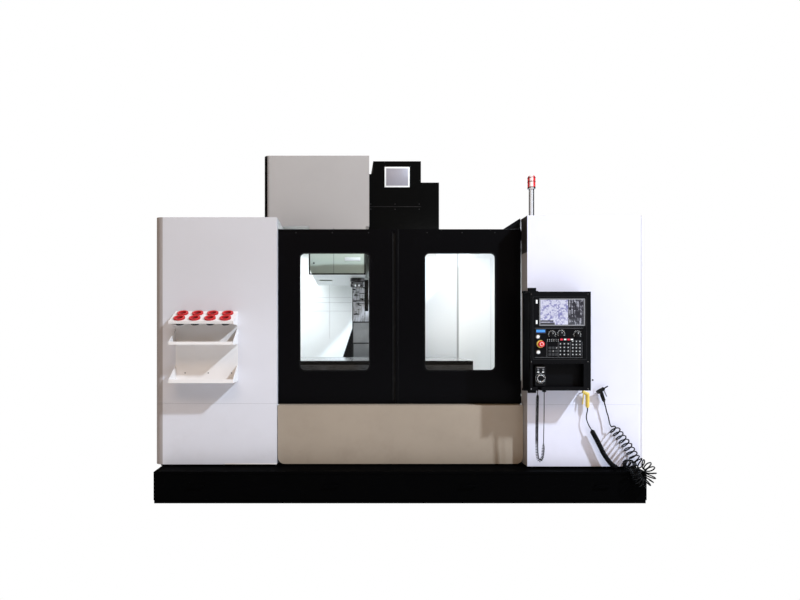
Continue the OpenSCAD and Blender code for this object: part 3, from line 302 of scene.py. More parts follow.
def screen_material():
    """A lit screen: a pale work area with soft blocks on the left and a dark list on the right."""
    m = Mat("screen_glow")
    cell = m.node("ShaderNodeTexVoronoi", {"Vector": m.place, "Scale": 62.0}, distance="CHEBYCHEV")
    clouds = m.noise(36, 4)
    rows = ((m.z * 95).frac() > 0.45) * (m.noise(130, 1, (1, 1, 0.02)) > 0.5)
    bar = ((m.z - 1.463).absolute() < 0.006) * (m.x < 1.20)
    foot = (m.z < 1.452) * (m.x < 1.21)
    blocks = cell.ramp(0.2, 0.55) * clouds.ramp(0.38, 0.6)
    left = m.mix((0.76, 0.77, 0.95), (0.26, 0.26, 0.55), blocks)
    left = m.mix(left, (0.94, 0.86, 0.5), m.z > 1.632)
    left = m.mix(left, (0.03, 0.03, 0.04), bar | foot)
    right = m.mix((0.02, 0.02, 0.03), (0.62, 0.63, 0.75), rows * clouds.ramp(0.42, 0.6))
    m.set(Base_Color=(0.01, 0.01, 0.012), Roughness=clouds * 0.04 + 0.12, Emission_Strength=0.9,
          Emission_Color=m.mix(left, right, m.x > 1.315))
    return m


def glass_material():
    """Clear safety glass: see-through, with a mirror share that grows at grazing angles."""
    m = Mat("window_glass")
    haze = m.noise(3, 4).ramp(0.4, 0.8)
    clear = m.node("ShaderNodeBsdfTransparent", {"Color": (0.97, 0.985, 0.985)})
    mirror = m.node("ShaderNodeBsdfGlossy", {"Color": (1, 1, 1), "Roughness": haze * 0.03 + 0.02})
    share = m.node("ShaderNodeFresnel", {"IOR": 1.35}) * 0.5
    m.surface(m.node("ShaderNodeMixShader", {0: share, 1: clear, 2: mirror}))
    return m


def floor_material():
    """A pale floor that takes shadows and bounces light, and that a camera ray sees as plain white."""
    m = Mat("floor_paint")
    m.set(Base_Color=m.mix((0.86, 0.86, 0.86), (0.82, 0.82, 0.83), m.noise(3, 4)),
          Roughness=m.noise(20, 3) * 0.1 + 0.6)
    camera_ray = m.node("ShaderNodeLightPath", out="Is Camera Ray")
    glass_ray = m.node("ShaderNodeLightPath", out="Is Transmission Ray")
    glow = m.node("ShaderNodeEmission", {"Color": (1, 1, 1), "Strength": 1.0})
    lit = Val(m, m.shader.outputs[0])
    m.surface(m.node("ShaderNodeMixShader", {0: camera_ray | glass_ray, 1: lit, 2: glow}))
    return m


white_left = paint("cabinet_left_paint", (0.66, 0.65, 0.69), 0.42, 0.10, shades=[
    # Painted shade: darker towards the top, and a dark band on the rounded outer edge that faces away from
    # the light
    ((0.48, 0.455, 0.45), lambda m: m.z.ramp(0.8, 2.2, 0, 0.6)),
    ((0.27, 0.225, 0.2), lambda m: m.x.ramp(-1.966, -1.962, 0.8, 0) * (m.y < DOOR_Y))])
white_right = paint("cabinet_right_paint", (0.71, 0.693, 0.78), 0.4, 0.08, shades=[
    # Painted shade on the flank beside the door, darker still at its top end, and a line of painted shade
    # on the rounded outer edge
    ((0.40, 0.36, 0.34), lambda m: (m.across < -0.5) * (m.x < 1.1)),
    ((0.03, 0.026, 0.024), lambda m: (m.across < -0.5) * (m.x < 1.1) * (m.z > 2.035)),
    ((0.36, 0.31, 0.27), lambda m: (m.x - 1.9985).absolute().ramp(0.004, 0.009, 0.8, 0) * (m.y < -1.3))])
grey_cover = paint("magazine_paint", (0.375, 0.35, 0.335), 0.45, 0.0, cloud=0.1, shades=[
    # Painted shade on the left edge, painted greenish light on the part behind the window, and painted
    # light on its underside
    ((0.09, 0.08, 0.074), lambda m: m.x.ramp(-1.178, -1.125, 0.9, 0)),
    ((0.54, 0.59, 0.5), lambda m: m.z < 2.2),
    ((0.85, 0.87, 0.87), lambda m: (m.up < -0.5) * (m.z < 2.0))])
beige = paint("apron_paint", (0.335, 0.272, 0.208), 0.45, 0.3, dust_color=(0.2, 0.155, 0.12), cloud=0.12)
door_black = paint("door_paint", (0.0012, 0.0011, 0.0016), 0.36, 0.05, 0.12,
                   (0.005, 0.0045, 0.0042), shine=0.055)
deep_black = paint("hood_paint", (0.0011, 0.0011, 0.001), 0.5, 0.05, 0.15,
                   (0.004, 0.0037, 0.0033), shine=0.03)
tank_black = paint("tank_paint", (0.0009, 0.0009, 0.001), 0.65, 0.15, 0.25,
                   (0.003, 0.0027, 0.0024), shine=0.01)
control_black = paint("control_paint", (0.0022, 0.0022, 0.0028), 0.45, 0.0, 0.3, shine=0.08)
guard_white = paint("guard_paint", (0.9, 0.92, 0.93), 0.35, 0.05, dust_color=(0.5, 0.5, 0.48), shades=[
    # Painted shade behind the right window that fades to the right, and a line of painted shade along the
    # corner beside it
    ((0.66, 0.69, 0.73), lambda m: (m.x.ramp(0.3, 0.86, 1, 0.45) * (m.x < 0.87)) * (m.x > 0.2)),
    ((0.30, 0.31, 0.32), lambda m: (m.x - 0.874).absolute().ramp(0.006, 0.016, 0.8, 0))])
rack_white = paint("rack_paint", (0.80, 0.765, 0.745), 0.35, 0.0)
head_paint = paint("head_paint", (0.55, 0.57, 0.56), 0.4, 0.0)
cast = paint("casting_paint", (0.022, 0.023, 0.025), 0.6, 0.3, 0.9, (0.05, 0.045, 0.04), shine=0.25)

slide_steel = metal("slide_steel", (0.46, 0.47, 0.48), 0.34, (8, 8, 0.3), 40, 0.35, shades=[
    # Painted highlights as bright streaks, a dark vertical band high up, and painted dark reflections in
    # patches on the column's covers
    ((0.8, 0.8, 0.86), lambda m: (m.z > 1.49) * m.noise(9, 3, (6, 1, 1)).ramp(0.3, 0.6)),
    ((0.01, 0.01, 0.01), lambda m: (m.z > 1.62) * ((m.x + 0.19).absolute() < 0.022)),
    ((0.02, 0.02, 0.02), lambda m: (m.z > 1.56) * (m.x < -0.2) * (m.noise(16, 2, (1, 1, 4)) > 0.6))])
cover_steel = metal("cover_steel", (0.42, 0.43, 0.44), 0.34, (0.3, 8, 8), 40, 0.35)
table_steel = table_material()
bright_steel = metal("bright_steel", (0.72, 0.72, 0.73), 0.18, (1, 1, 6), 90, 0.1)
rough_steel = metal("rough_steel", (0.45, 0.45, 0.46), 0.42, (1, 1, 1), 30, 0.3)
black_oxide = metal("black_oxide", (0.03, 0.03, 0.032), 0.4, (1, 1, 1), 50, 0.1, 0.8)
plate_silver = metal("plate_silver", (0.33, 0.315, 0.35), 0.5, (8, 1, 0.4), 60, 0.0, 0.2)

red_plastic = plastic("red_plastic", (0.62, 0.012, 0.012), 0.3)
black_plastic = plastic("black_plastic", (0.004, 0.004, 0.0045), 0.42, shine=0.12)
key_black = plastic("key_black", (0.02, 0.02, 0.022), 0.5)
white_plastic = plastic("white_plastic", (0.82, 0.82, 0.8), 0.3)
grey_plastic = plastic("grey_plastic", (0.2, 0.2, 0.21), 0.45)
yellow_plastic = plastic("yellow_plastic", (0.72, 0.52, 0.1), 0.4)
key_red = plastic("key_red", (0.75, 0.03, 0.06), 0.35)
rubber = plastic("rubber", (0.004, 0.004, 0.0042), 0.6, 300, 0.3, shine=0.12)
hose_skin = plastic("hose_skin", (0.003, 0.003, 0.0035), 0.3, 200, 0.1, shine=0.1)

cups = cup_material()
lens_red = lens_material()
mast_chrome = mast_material()
lamp_glow = lamp_material()
blue_display = display_material()
screen_glow = screen_material()
window_glass = glass_material()


def bevel_edges(bm, edges, offset, segments=2):
    bmesh.ops.bevel(bm, geom=list(edges), offset=offset, segments=segments, profile=0.5,
                    affect="EDGES", material=-1)


def box(bm, lo, hi, bevel=0.0, segments=2):
    """A box between two corners, with rounded edges."""
    lo, hi = Vector(lo), Vector(hi)
    place = Matrix.Translation((lo + hi) / 2) @ Matrix.Diagonal((*(hi - lo), 1))
    made = bmesh.ops.create_cube(bm, size=1, matrix=place)
    if bevel:
        bevel_edges(bm, {e for v in made["verts"] for e in v.link_edges}, bevel, segments)


def turn(axis):
    """Rotation that takes +Z to an axis."""
    return Vector(UP).rotation_difference(Vector(axis)).to_matrix().to_4x4()


def rod(bm, start, axis, r, h, r2=None, sides=32, bevel=0.0):
    """A cylinder or cone from a start point along an axis."""
    place = Matrix.Translation(Vector(start) + Vector(axis).normalized() * h / 2) @ turn(axis)
    made = bmesh.ops.create_cone(bm, cap_ends=True, segments=sides, radius1=r,
                                 radius2=r if r2 is None else r2, depth=h, matrix=place)
    if bevel:
        edges = {e for v in made["verts"] for e in v.link_edges}
        bevel_edges(bm, [e for e in edges if any(len(f.verts) > 4 for f in e.link_faces)], bevel)


def studs(bm, places, y, r, h, r2=None, sides=12):
    """Rods that stick out towards the operator at (x, z) places."""
    for x, z in places:
        rod(bm, (x, y, z), FRONT, r, h, r2, sides)


def lathe(bm, profile, start, axis, sides=40):
    """A body of revolution: (radius, height) pairs spun about an axis."""
    place = Matrix.Translation(Vector(start)) @ turn(axis)
    points = [bm.verts.new(place @ Vector((r, 0, z))) for r, z in profile]
    edges = [bm.edges.new(pair) for pair in zip(points, points[1:])]
    bmesh.ops.spin(bm, geom=points + edges, cent=start, axis=place.to_3x3() @ Vector(UP),
                   angle=math.tau, steps=sides, use_merge=True, use_duplicate=False)
    bmesh.ops.remove_doubles(bm, verts=bm.verts, dist=NEAR)


def upright(x, y, z, half_x, half_z):
    """Places a flat grid of 2 by 2 so that it stands and faces the operator."""
    return (Matrix.Translation((x, y, z)) @ Matrix.Rotation(math.pi / 2, 4, "X")
            @ Matrix.Diagonal((half_x, half_z, 1, 1)))


def thicken(bm, faces, depth, **settings):
    """Extrudes faces along Y."""
    made = bmesh.ops.extrude_face_region(bm, geom=faces, **settings)
    verts = [v for v in made["geom"] if isinstance(v, bmesh.types.BMVert)]
    bmesh.ops.translate(bm, verts=verts, vec=(0, depth, 0))


def flat_frame(bm, x, z, y, width, depth, corner, segments=8):
    """A rounded rectangular frame that faces the operator: width inwards, depth towards +Y."""
    place = upright((x[0] + x[1]) / 2, y, (z[0] + z[1]) / 2, (x[1] - x[0]) / 2, (z[1] - z[0]) / 2)
    made = bmesh.ops.create_grid(bm, x_segments=1, y_segments=1, size=1, matrix=place)
    bmesh.ops.bevel(bm, geom=made["verts"], offset=corner, segments=segments, profile=0.5,
                    affect="VERTICES", material=-1)
    face = [f for f in bm.faces
            if f.is_valid and abs(f.calc_center_median().y - y) < NEAR and len(f.verts) > 8][-1:]
    bmesh.ops.inset_region(bm, faces=face, thickness=width, use_even_offset=True, use_boundary=True)
    bmesh.ops.delete(bm, geom=face, context="FACES_ONLY")
    ring = [f for f in bm.faces if abs(f.calc_center_median().y - y) < NEAR]
    thicken(bm, ring, depth, use_keep_orig=True)


def piece(name, material, body, build, smooth=True):
    """One mesh object that rides on a body."""
    bm = bmesh.new()
    build(bm)
    bmesh.ops.recalc_face_normals(bm, faces=bm.faces)
    mesh = bpy.data.meshes.new(name)
    bm.to_mesh(mesh)
    bm.free()
    if smooth:
        mesh.shade_smooth()
        mesh.set_sharp_from_angle(angle=SHARP_ANGLE)
    mesh.materials.append(material.data)
    thing = bpy.data.objects.new(name, mesh)
    scene.collection.objects.link(thing)
    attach(thing, body)


# The next four make a piece of one kind of shape: they take that shape's own arguments
def box_piece(name, material, body, lo, hi, bevel=0.0, segments=2):
    piece(name, material, body, lambda bm: box(bm, lo, hi, bevel, segments))


def frame_piece(name, material, body, *shape, slot=None):
    piece(name, material, body, lambda bm: flat_frame(bm, *shape))


def stud_piece(name, material, body, places, *shape, slot=None):
    piece(name, material, body, lambda bm: studs(bm, places, *shape))


def lathe_piece(name, material, body, profile, start, sides=40):
    piece(name, material, body, lambda bm: lathe(bm, profile, start, FRONT, sides))


def crossed(xs, zs):
    """Every pair of an x and a z."""
    return [(x, z) for x in xs for z in zs]


def grown(span, by):
    """A (low, high) pair made wider at both ends."""
    return span[0] - by, span[1] + by


PATH_STEP = 0.004  # distance between samples of a smooth route
PATH_PARTS = 24  # parts of the curve between two of its points
THINNEST_COIL = 0.0004  # below this radius a line runs straight


def smooth_path(points):
    """Even samples of a smooth curve through a route's points, which are in millimetres."""
    pts = [Vector(p) / 1000 for p in points]
    pts = [pts[0] * 2 - pts[1], *pts, pts[-1] * 2 - pts[-2]]
    fine = []
    for a, b, c, d in zip(pts, pts[1:], pts[2:], pts[3:]):
        for k in range(PATH_PARTS):
            t = k / PATH_PARTS
            fine.append(0.5 * (2 * b + (c - a) * t + (2 * a - 5 * b + 4 * c - d) * t * t
                               + (3 * b - a - 3 * c + d) * t ** 3))
    fine.append(pts[-2])
    out, left = [fine[0]], PATH_STEP
    for a, b in zip(fine, fine[1:]):
        gap = (b - a).length
        while gap >= left > 0:
            a = a + (b - a).normalized() * left
            gap -= left
            left = PATH_STEP
            out.append(a)
        left -= gap
    out.append(fine[-1])
    return out


def wound(points, radius, pitch, per_turn=14):
    """A line that winds round a route. radius and pitch are functions of the place along it, in metres."""
    line = smooth_path(points)
    side = Vector((0.13, 0.97, 0.21))
    out, phase, at = [], 0.0, 0.0
    total = (len(line) - 1) * PATH_STEP
    while at < total:
        i = min(int(at / PATH_STEP), len(line) - 2)
        here = line[i].lerp(line[i + 1], at / PATH_STEP - i)
        ahead = (line[min(i + 3, len(line) - 1)] - line[max(i - 2, 0)]).normalized()
        side = (side - ahead * side.dot(ahead)).normalized()
        r = radius(at, total)
        out.append(here + r * (math.cos(phase) * side + math.sin(phase) * ahead.cross(side)))
        ds = pitch(at) / per_turn if r > THINNEST_COIL else 0.01
        phase += math.tau * ds / pitch(at) if r > THINNEST_COIL else 0
        at += ds
    out.append(line[-1])
    return out


def ease(x, lo, hi):
    """Smooth step from 0 at lo to 1 at hi."""
    t = min(max((x - lo) / (hi - lo), 0), 1)
    return t * t * (3 - 2 * t)


def hose(name, line, diameter, body, nodes, **facts):
    """A round hose along a line, in place of plain swept nodes."""
    curve = bpy.data.curves.new(name, "CURVE")
    curve.dimensions = "3D"
    curve.bevel_depth = diameter / 2
    curve.bevel_resolution = 2
    curve.use_fill_caps = True
    spline = curve.splines.new("POLY")
    spline.points.add(len(line) - 1)
    spline.points.foreach_set("co", [c for p in line for c in (*p, 1)])
    spline.use_smooth = True
    curve.materials.append(hose_skin.data)
    thing = bpy.data.objects.new(name, curve)
    scene.collection.objects.link(thing)
    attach(thing, body)
    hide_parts(*nodes)
    length = sum((b - a).length for a, b in zip(line, line[1:]))


# Routes of the hoses' middle lines, in millimetres, as in the part's source
WASH_ROUTE = [
    [1535, -1422, 760], [1534, -1422, 735], [1527, -1423, 705], [1526, -1424, 670], [1536, -1426, 635],
    [1550, -1428, 605], [1562, -1430, 585], [1578, -1431, 552], [1598, -1432, 515], [1618, -1433, 475],
    [1640, -1434, 430], [1662, -1436, 385], [1688, -1438, 345], [1714, -1440, 312], [1740, -1438, 290],
    [1760, -1426, 279], [1770, -1402, 277]]
AIR_ROUTE = [
    [1672, -1422, 807], [1676, -1422, 790], [1684, -1422, 760], [1692, -1422, 725], [1703, -1423, 690],
    [1710, -1424, 655], [1715, -1426, 630], [1722, -1430, 612], [1755, -1432, 575], [1790, -1434, 530],
    [1825, -1436, 485], [1860, -1438, 435], [1890, -1440, 385], [1918, -1446, 342], [1948, -1466, 314],
    [1974, -1504, 308], [1978, -1554, 272], [1962, -1562, 220], [1918, -1566, 186], [1872, -1562, 214],
    [1854, -1556, 268], [1850, -1508, 308], [1850, -1460, 306], [1850, -1402, 303]]
CORD_ROUTE = [
    [1088, -1539, 950], [1088, -1539, 915], [1087, -1538, 860], [1086, -1535, 780], [1086, -1530, 680],
    [1086, -1526, 580], [1087, -1523, 480], [1090, -1521, 410], [1098, -1520, 366], [1113, -1520, 350],
    [1128, -1520, 366], [1136, -1521, 410], [1140, -1523, 480], [1141, -1526, 580], [1142, -1530, 680],
    [1141, -1535, 780], [1140, -1538, 860], [1140, -1539, 902]]

# Each coil grows from the plain hose at its start and closes again before its end
wash_line = wound(WASH_ROUTE,
                  lambda s, n: 0.0158 * ease(s, 0.185, 0.205) * (1 - ease(s, n - 0.035, n - 0.012)),
                  lambda s: 0.0095)
hose("wash_hose_coiled", wash_line, 0.0085, "machine", ["wash_hose", "wash_coil"],
     stiffness="medium", lay="coiled")
air_line = wound(AIR_ROUTE,
                 lambda s, n: 0.0375 * ease(s, 0.205, 0.235) * (1 - ease(s, n - 0.045, n - 0.012)),
                 lambda s: 0.038 - 0.014 * ease(s, 0.60, 0.80), 24)
hose("air_hose_coiled", air_line, 0.010, "machine", ["air_hose", "air_coil"],
     stiffness="medium", lay="coiled")
cord_line = wound(CORD_ROUTE,
                  lambda s, n: 0.0092 * ease(s, 0.06, 0.09) * (1 - ease(s, n - 0.46, n - 0.40)),
                  lambda s: 0.0074 + 0.005 * ease(s, 0.43, 0.50), 12)
hose("handset_cord_curled", cord_line, 0.0062, "pendant", ["handset_cord"],
     stiffness="limp", lay="hanging")

# Materials of the nodes that the part's source makes
NODE_MATERIALS = {
    "bed": cast, "levelling_feet": rough_steel, "column": cast, "saddle": cast, "changer_frame": cast,
    "coolant_tank": tank_black, "plinth": tank_black, "front_apron": beige, "door_header": door_black,
    "left_panels": white_left, "right_panels": white_right, "rear_panels": white_left,
    "electrical_cabinet": white_left, "electrical_door": white_left, "hose_hangers": white_right,
    "splash_guard": guard_white, "magazine_cover": grey_cover, "tool_rack": rack_white,
    "tool_cups": cups, "light_mast": mast_chrome, "light_lens": lens_red, "work_lamp": lamp_glow,
    "table": table_steel, "headstock": head_paint, "head_cover": deep_black,
    "z_cover_1": slide_steel, "z_cover_2": slide_steel, "z_cover_3": slide_steel,
    "way_cover_ends": cover_steel, "saddle_covers": cover_steel, "y_cover_2": cover_steel,
    "y_cover_3": cover_steel, "y_cover_rear": cover_steel,
    "spindle": bright_steel, "tool_disc": rough_steel, "arm_shaft": bright_steel,
    "change_arm": black_oxide, "door_left": door_black, "door_right": door_black,
    "glass_left": window_glass, "glass_right": window_glass,
    "pendant_bracket": control_black, "control_box": control_black, "e_stop": red_plastic,
    "start_button": white_plastic, "stop_button": white_plastic, "dial_1": black_plastic,
    "dial_2": black_plastic, "dial_3": black_plastic, "handset": black_plastic,
    "handwheel": black_plastic, "air_gun": black_plastic, "air_trigger": grey_plastic,
    "wash_gun": yellow_plastic, "wash_lever": yellow_plastic,
}
for name, material in NODE_MATERIALS.items():
    node = bpy.data.objects[name]
    node.data.materials.clear()
    node.data.materials.append(material.data)

# Doors
for body, x in WINDOWS:
    frame_piece(f"{body}_gasket", rubber, body, grown(x, 0.002), grown(WINDOW_Z, 0.002),
                DOOR_Y - 0.0015, 0.010, 0.012, 0.046, slot="hose_black")
    frame_piece(f"{body}_trim", door_black, body, grown(x, 0.014), grown(WINDOW_Z, 0.014),
                DOOR_Y - 0.001, 0.011, 0.003, 0.058)
box_piece("door_meeting_seal", rubber, "door_right", (0.0105, DOOR_Y - 0.0008, 0.764),
          (0.0150, DOOR_Y + 0.012, 2.254), 0.0008)
box_piece("door_grip_lip", door_black, "door_left", (-0.0395, DOOR_Y - 0.0035, GRIP_Z[0]),
          (-0.0355, DOOR_Y + 0.002, GRIP_Z[1]), 0.0012)
box_piece("door_grip_shadow", rubber, "door_left", (-0.0358, DOOR_Y + 0.0148, GRIP_Z[0]),
          (-0.0082, DOOR_Y + 0.0162, GRIP_Z[1]))
for side, xs in (("left", (-0.86, -0.55, -0.24)), ("right", (0.26, 0.56, 0.84))):
    stud_piece(f"door_screws_{side}", black_oxide, f"door_{side}", crossed(xs, [2.226]),
               DOOR_Y, 0.006, 0.0025, 0.004)

# Hood over the spindle motor
box_piece("hood_plate_border", white_plastic, "head", (-0.056, HOOD_Y - 0.0015, 2.784),
          (0.187, HOOD_Y + 0.0005, 2.982), 0.0006)
box_piece("hood_plate", plate_silver, "head", (-0.041, HOOD_Y - 0.0025, 2.799),
          (0.172, HOOD_Y - 0.001, 2.967), 0.0004)


def hood_seams(bm):
    box(bm, (-0.2055, HOOD_Y - 0.0008, 2.594), (0.2965, HOOD_Y + 0.0008, 2.597))
    studs(bm, crossed((-0.19, 0.045, 0.28), (2.33, 2.57, 2.62)), HOOD_Y + 0.0005, 0.006, 0.003, 0.0045)


piece("hood_seams", black_oxide, "head", hood_seams)

# Control box: screen and small display
frame_piece("screen_bezel", grey_plastic, "pendant", (1.087, 1.448), (1.425, 1.641),
            FACE + 0.0015, 0.010, 0.0062, 0.006, 3)
box_piece("screen_glass", screen_glow, "pendant", (1.0975, FACE + 0.0045, 1.4355),
          (1.4375, FACE + 0.0078, 1.6305), 0.0006)


# White marks on the bezel left of the screen
def screen_white_marks(bm):
    for z in (1.600, 1.440):
        box(bm, (1.060, FACE - 0.001, z), (1.073, FACE + 0.002, z + 0.03), 0.001)


piece("screen_white_marks", white_plastic, "pendant", screen_white_marks)
box_piece("blue_display", blue_display, "pendant", (1.065, FACE + 0.0005, 1.371),
          (1.134, FACE + 0.0034, 1.395), 0.001)
frame_piece("blue_display_rim", key_black, "pendant", (1.060, 1.139), (1.366, 1.400),
            FACE, 0.004, 0.0031, 0.003, 3)


# Control box: keys
def keycaps(bm, places, w, h, depth=0.004):
    for x, z in places:
        box(bm, (x - w / 2, PANEL - depth, z - h / 2), (x + w / 2, PANEL + 0.0001, z + h / 2), 0.0012)


KEYS_A = crossed((1.252, 1.283, 1.314), (1.200, 1.228, 1.256, 1.284))
KEYS_B = crossed((1.350, 1.378, 1.406), (1.200, 1.226, 1.252, 1.278, 1.304))
KEYS_C = crossed((1.170, 1.196, 1.222), (1.200, 1.226, 1.252))
KEY_MARK_Y = PANEL - 0.0038
for name, places in (("keys_a", KEYS_A), ("keys_b", KEYS_B), ("keys_c", KEYS_C)):
    piece(name, key_black, "pendant", lambda bm: keycaps(bm, places, 0.021, 0.019))


def key_marks(bm):
    studs(bm, KEYS_A + KEYS_B, KEY_MARK_Y, 0.0034, 0.0006)
    studs(bm, ((1.196, 1.226), (1.222, 1.252)), KEY_MARK_Y, 0.0026, 0.0006)


piece("key_marks", white_plastic, "pendant", key_marks)
piece("keys_red", key_red, "pendant",
      lambda bm: keycaps(bm, crossed((1.262, 1.318), [1.318]), 0.019, 0.013, 0.005))
piece("keys_white", white_plastic, "pendant",
      lambda bm: keycaps(bm, crossed((1.290, 1.343), [1.318]), 0.019, 0.011, 0.005))
stud_piece("indicator_lamps", white_plastic, "pendant",
           crossed([1.152 + i * 0.017 for i in range(6)], (1.318, 1.306)),
           PANEL, 0.0024, 0.0025, 0.0018, 10)


# Control box: dials, emergency stop and buttons
def tick(bm, center, radius, a, size):
    """A small bar on a circle that faces the operator."""
    at = Vector(center) + radius * Vector((math.cos(a), 0, math.sin(a)))
    place = Matrix.Translation(at) @ Matrix.Rotation(-a, 4, "Y") @ Matrix.Diagonal((*size, 1))
    bmesh.ops.create_cube(bm, size=1, matrix=place)


def dial_scales(bm):
    for x, z in DIALS:
        for k in range(11):
            tick(bm, (x, PANEL - 0.0002, z), 0.0275, math.radians(210 - 24 * k), (0.007, 0.0012, 0.0022))


piece("dial_scales", white_plastic, "pendant", dial_scales)
for n, (x, z) in enumerate(DIALS, 1):
    box_piece(f"dial_{n}_pointer", white_plastic, f"dial_{n}", (x - 0.0012, FACE - 0.0160, z + 0.002),
              (x + 0.0012, FACE - 0.0148, z + 0.0145), 0.0003)
lathe_piece("e_stop_collar", yellow_plastic, "pendant",
            [(0.0130, 0.0), (0.0290, 0.0), (0.0300, 0.0012), (0.0285, 0.0028), (0.0150, 0.0034),
             (0.0130, 0.0034)], E_STOP)
lathe_piece("e_stop_arrows", white_plastic, "e_stop",
            [(0.0120, 0.0325), (0.0140, 0.0322), (0.0150, 0.0316), (0.0140, 0.0320), (0.0120, 0.0325)],
            E_STOP, 30)
for name, x, z in (("start", 1.077, 1.341), ("stop", 1.080, 1.220)):
    lathe_piece(f"{name}_collar", bright_steel, "pendant",
                [(0.0116, 0.0), (0.0165, 0.0), (0.0168, 0.0010), (0.0155, 0.0022), (0.0125, 0.0026),
                 (0.0116, 0.0026)], (x, PANEL, z))


# Control box: lines, trims and screws
def panel_lines(bm):
    for z in (1.1765, 1.4065):
        box(bm, (1.052, PANEL - 0.0008, z), (1.430, PANEL + 0.0002, z + 0.0014))
    for x in (1.147, 1.236, 1.332, 1.424):
        box(bm, (x, PANEL - 0.0008, 1.182), (x + 0.0012, PANEL + 0.0002, 1.300))


piece("panel_lines", grey_plastic, "pendant", panel_lines)
frame_piece("control_trim", black_oxide, "pendant", (1.036, 1.462), (1.160, 1.655),
            FACE - 0.0006, 0.003, 0.0012, 0.005, 3)
box_piece("control_fold", control_black, "pendant", (1.0165, FACE - 0.0025, 0.930),
          (1.0205, FACE + 0.0005, 1.682), 0.001)
frame_piece("pocket_lip", control_black, "pendant", (1.033, 1.438), (0.942, 1.129),
            FACE - 0.001, 0.0025, 0.003, 0.002, 2)
stud_piece("pocket_screws", bright_steel, "pendant", crossed((1.024, 1.470), (0.930, 1.143, 1.675)),
           FACE - 0.0001, 0.0035, 0.0018, 0.0026)


# Handset
def handset_switches(bm):
    box(bm, (1.0740, HANDSET_Y - 0.0015, 1.0930), (1.1360, HANDSET_Y + 0.0005, 1.1010), 0.0006)
    studs(bm, crossed((1.0850, 1.1250), [1.0800]), HANDSET_Y + 0.0035, 0.0072, 0.0100, 0.0060, 20)


def handset_scale(bm):
    center = (WHEEL_X, HANDSET_Y - 0.0005, WHEEL_Z)
    for k in range(40):
        tick(bm, center, 0.0382, math.tau * k / 40, (0.004, 0.0010, 0.0012))


def handset_labels(bm):
    for x in (1.078, 1.116):
        box(bm, (x, HANDSET_Y - 0.0010, 1.0560), (x + 0.016, HANDSET_Y + 0.0004, 1.0640), 0.0004)


piece("handset_switches", grey_plastic, "pendant", handset_switches)
piece("handset_scale", white_plastic, "pendant", handset_scale)
lathe_piece("handwheel_ring", bright_steel, "handwheel",
            [(0.024, 0.0072), (0.026, 0.0082), (0.0285, 0.0082), (0.0300, 0.0072)],
            (WHEEL_X, HANDSET_Y - 0.0003, WHEEL_Z))
piece("handset_label_window", white_plastic, "pendant", handset_labels)

# Tool rack
stud_piece("rack_bolts", black_oxide, "machine", crossed((-1.776, -1.583, -1.389), (1.035, 1.480)),
           LEFT_Y - 0.0028, 0.0055, 0.0035, 0.0045, 6, slot="steel")


def cup_rims(bm):
    up = Vector((0, -math.sin(CUP_TILT), math.cos(CUP_TILT)))
    for out in (0.050, 0.145):
        for i in range(4):
            seat = (-1.5955 + (i - 1.5) * 0.124, LEFT_Y - out, CUP_SEAT_Z - out * math.tan(CUP_TILT))
            lathe(bm, [(0.0293, 0.0122), (0.0330, 0.0142), (0.0400, 0.0138), (0.0435, 0.0120)],
                  Vector(seat), up, 36)


piece("cup_rims", red_plastic, "machine", cup_rims)

# Coolant tank and plinth
box_piece("tank_edge", tank_black, "machine", (-1.974, TANK_Y - 0.0045, 0.236),
          (1.974, TANK_Y + 0.008, 0.2585), 0.004, 3)
box_piece("tank_foot", tank_black, "machine", (-1.972, TANK_Y + 0.008, 0.002),
          (1.972, TANK_Y + 0.016, 0.032), 0.002)


def tank_handles(bm):
    for x in (-1.62, -0.55, 0.55, 1.62):
        studs(bm, crossed((x - 0.055, x + 0.055), [0.150]), TANK_Y - 0.0005, 0.005, 0.022, sides=32)
        rod(bm, (x - 0.060, TANK_Y - 0.0225, 0.150), (1, 0, 0), 0.005, 0.120, bevel=0.001)


piece("tank_handles", tank_black, "machine", tank_handles)
box_piece("left_skirt_strip", rack_white, "machine", (-1.445, LEFT_Y - 0.0005, 0.2715),
          (-1.012, LEFT_Y + 0.0015, 0.2830), 0.0005)
# A painted highlight along the tank's top front edge
box_piece("tank_edge_painted_highlight", grey_plastic, "machine", (-0.66, TANK_Y - 0.0008, 0.2525),
          (1.96, TANK_Y + 0.0008, 0.2548), 0.0004)


# Panels and the splash guard's top
def guard_top_lips(bm):
    for x0, x1 in ((-1.62, -0.62), (0.62, 1.62)):
        box(bm, (x0, GUARD_Y - 0.0018, 2.236), (x1, GUARD_Y - 0.0002, 2.318), 0.0004)


def header_gusset(bm):
    box(bm, (0.916, -1.197, 2.2580), (1.0575, -1.191, 2.3500))
    left_top = [v for v in bm.verts if v.co.z > 2.3 and v.co.x < 1.0]
    bmesh.ops.translate(bm, verts=left_top, vec=(0, 0, -0.0905))


piece("guard_top_lips", guard_white, "machine", guard_top_lips)
piece("header_gusset", control_black, "machine", header_gusset, smooth=False)
piece("flank_screw", white_plastic, "machine",
      lambda bm: rod(bm, (1.0578, -1.176, 2.2696), (-1, 0, 0), 0.010, 0.0014))
stud_piece("panel_screw", rubber, "machine", [(1.596, 0.982)], RIGHT_Y + 0.0002, 0.007, 0.0015, None, 32)
box_piece("seam_band_left", rubber, "machine", (-1.95, LEFT_Y + 0.0015, 0.7765),
          (-1.013, LEFT_Y + 0.003, 0.7835))
box_piece("seam_band_right", rubber, "machine", (1.0605, RIGHT_Y + 0.0015, 0.7765),
          (1.95, RIGHT_Y + 0.003, 0.7835))

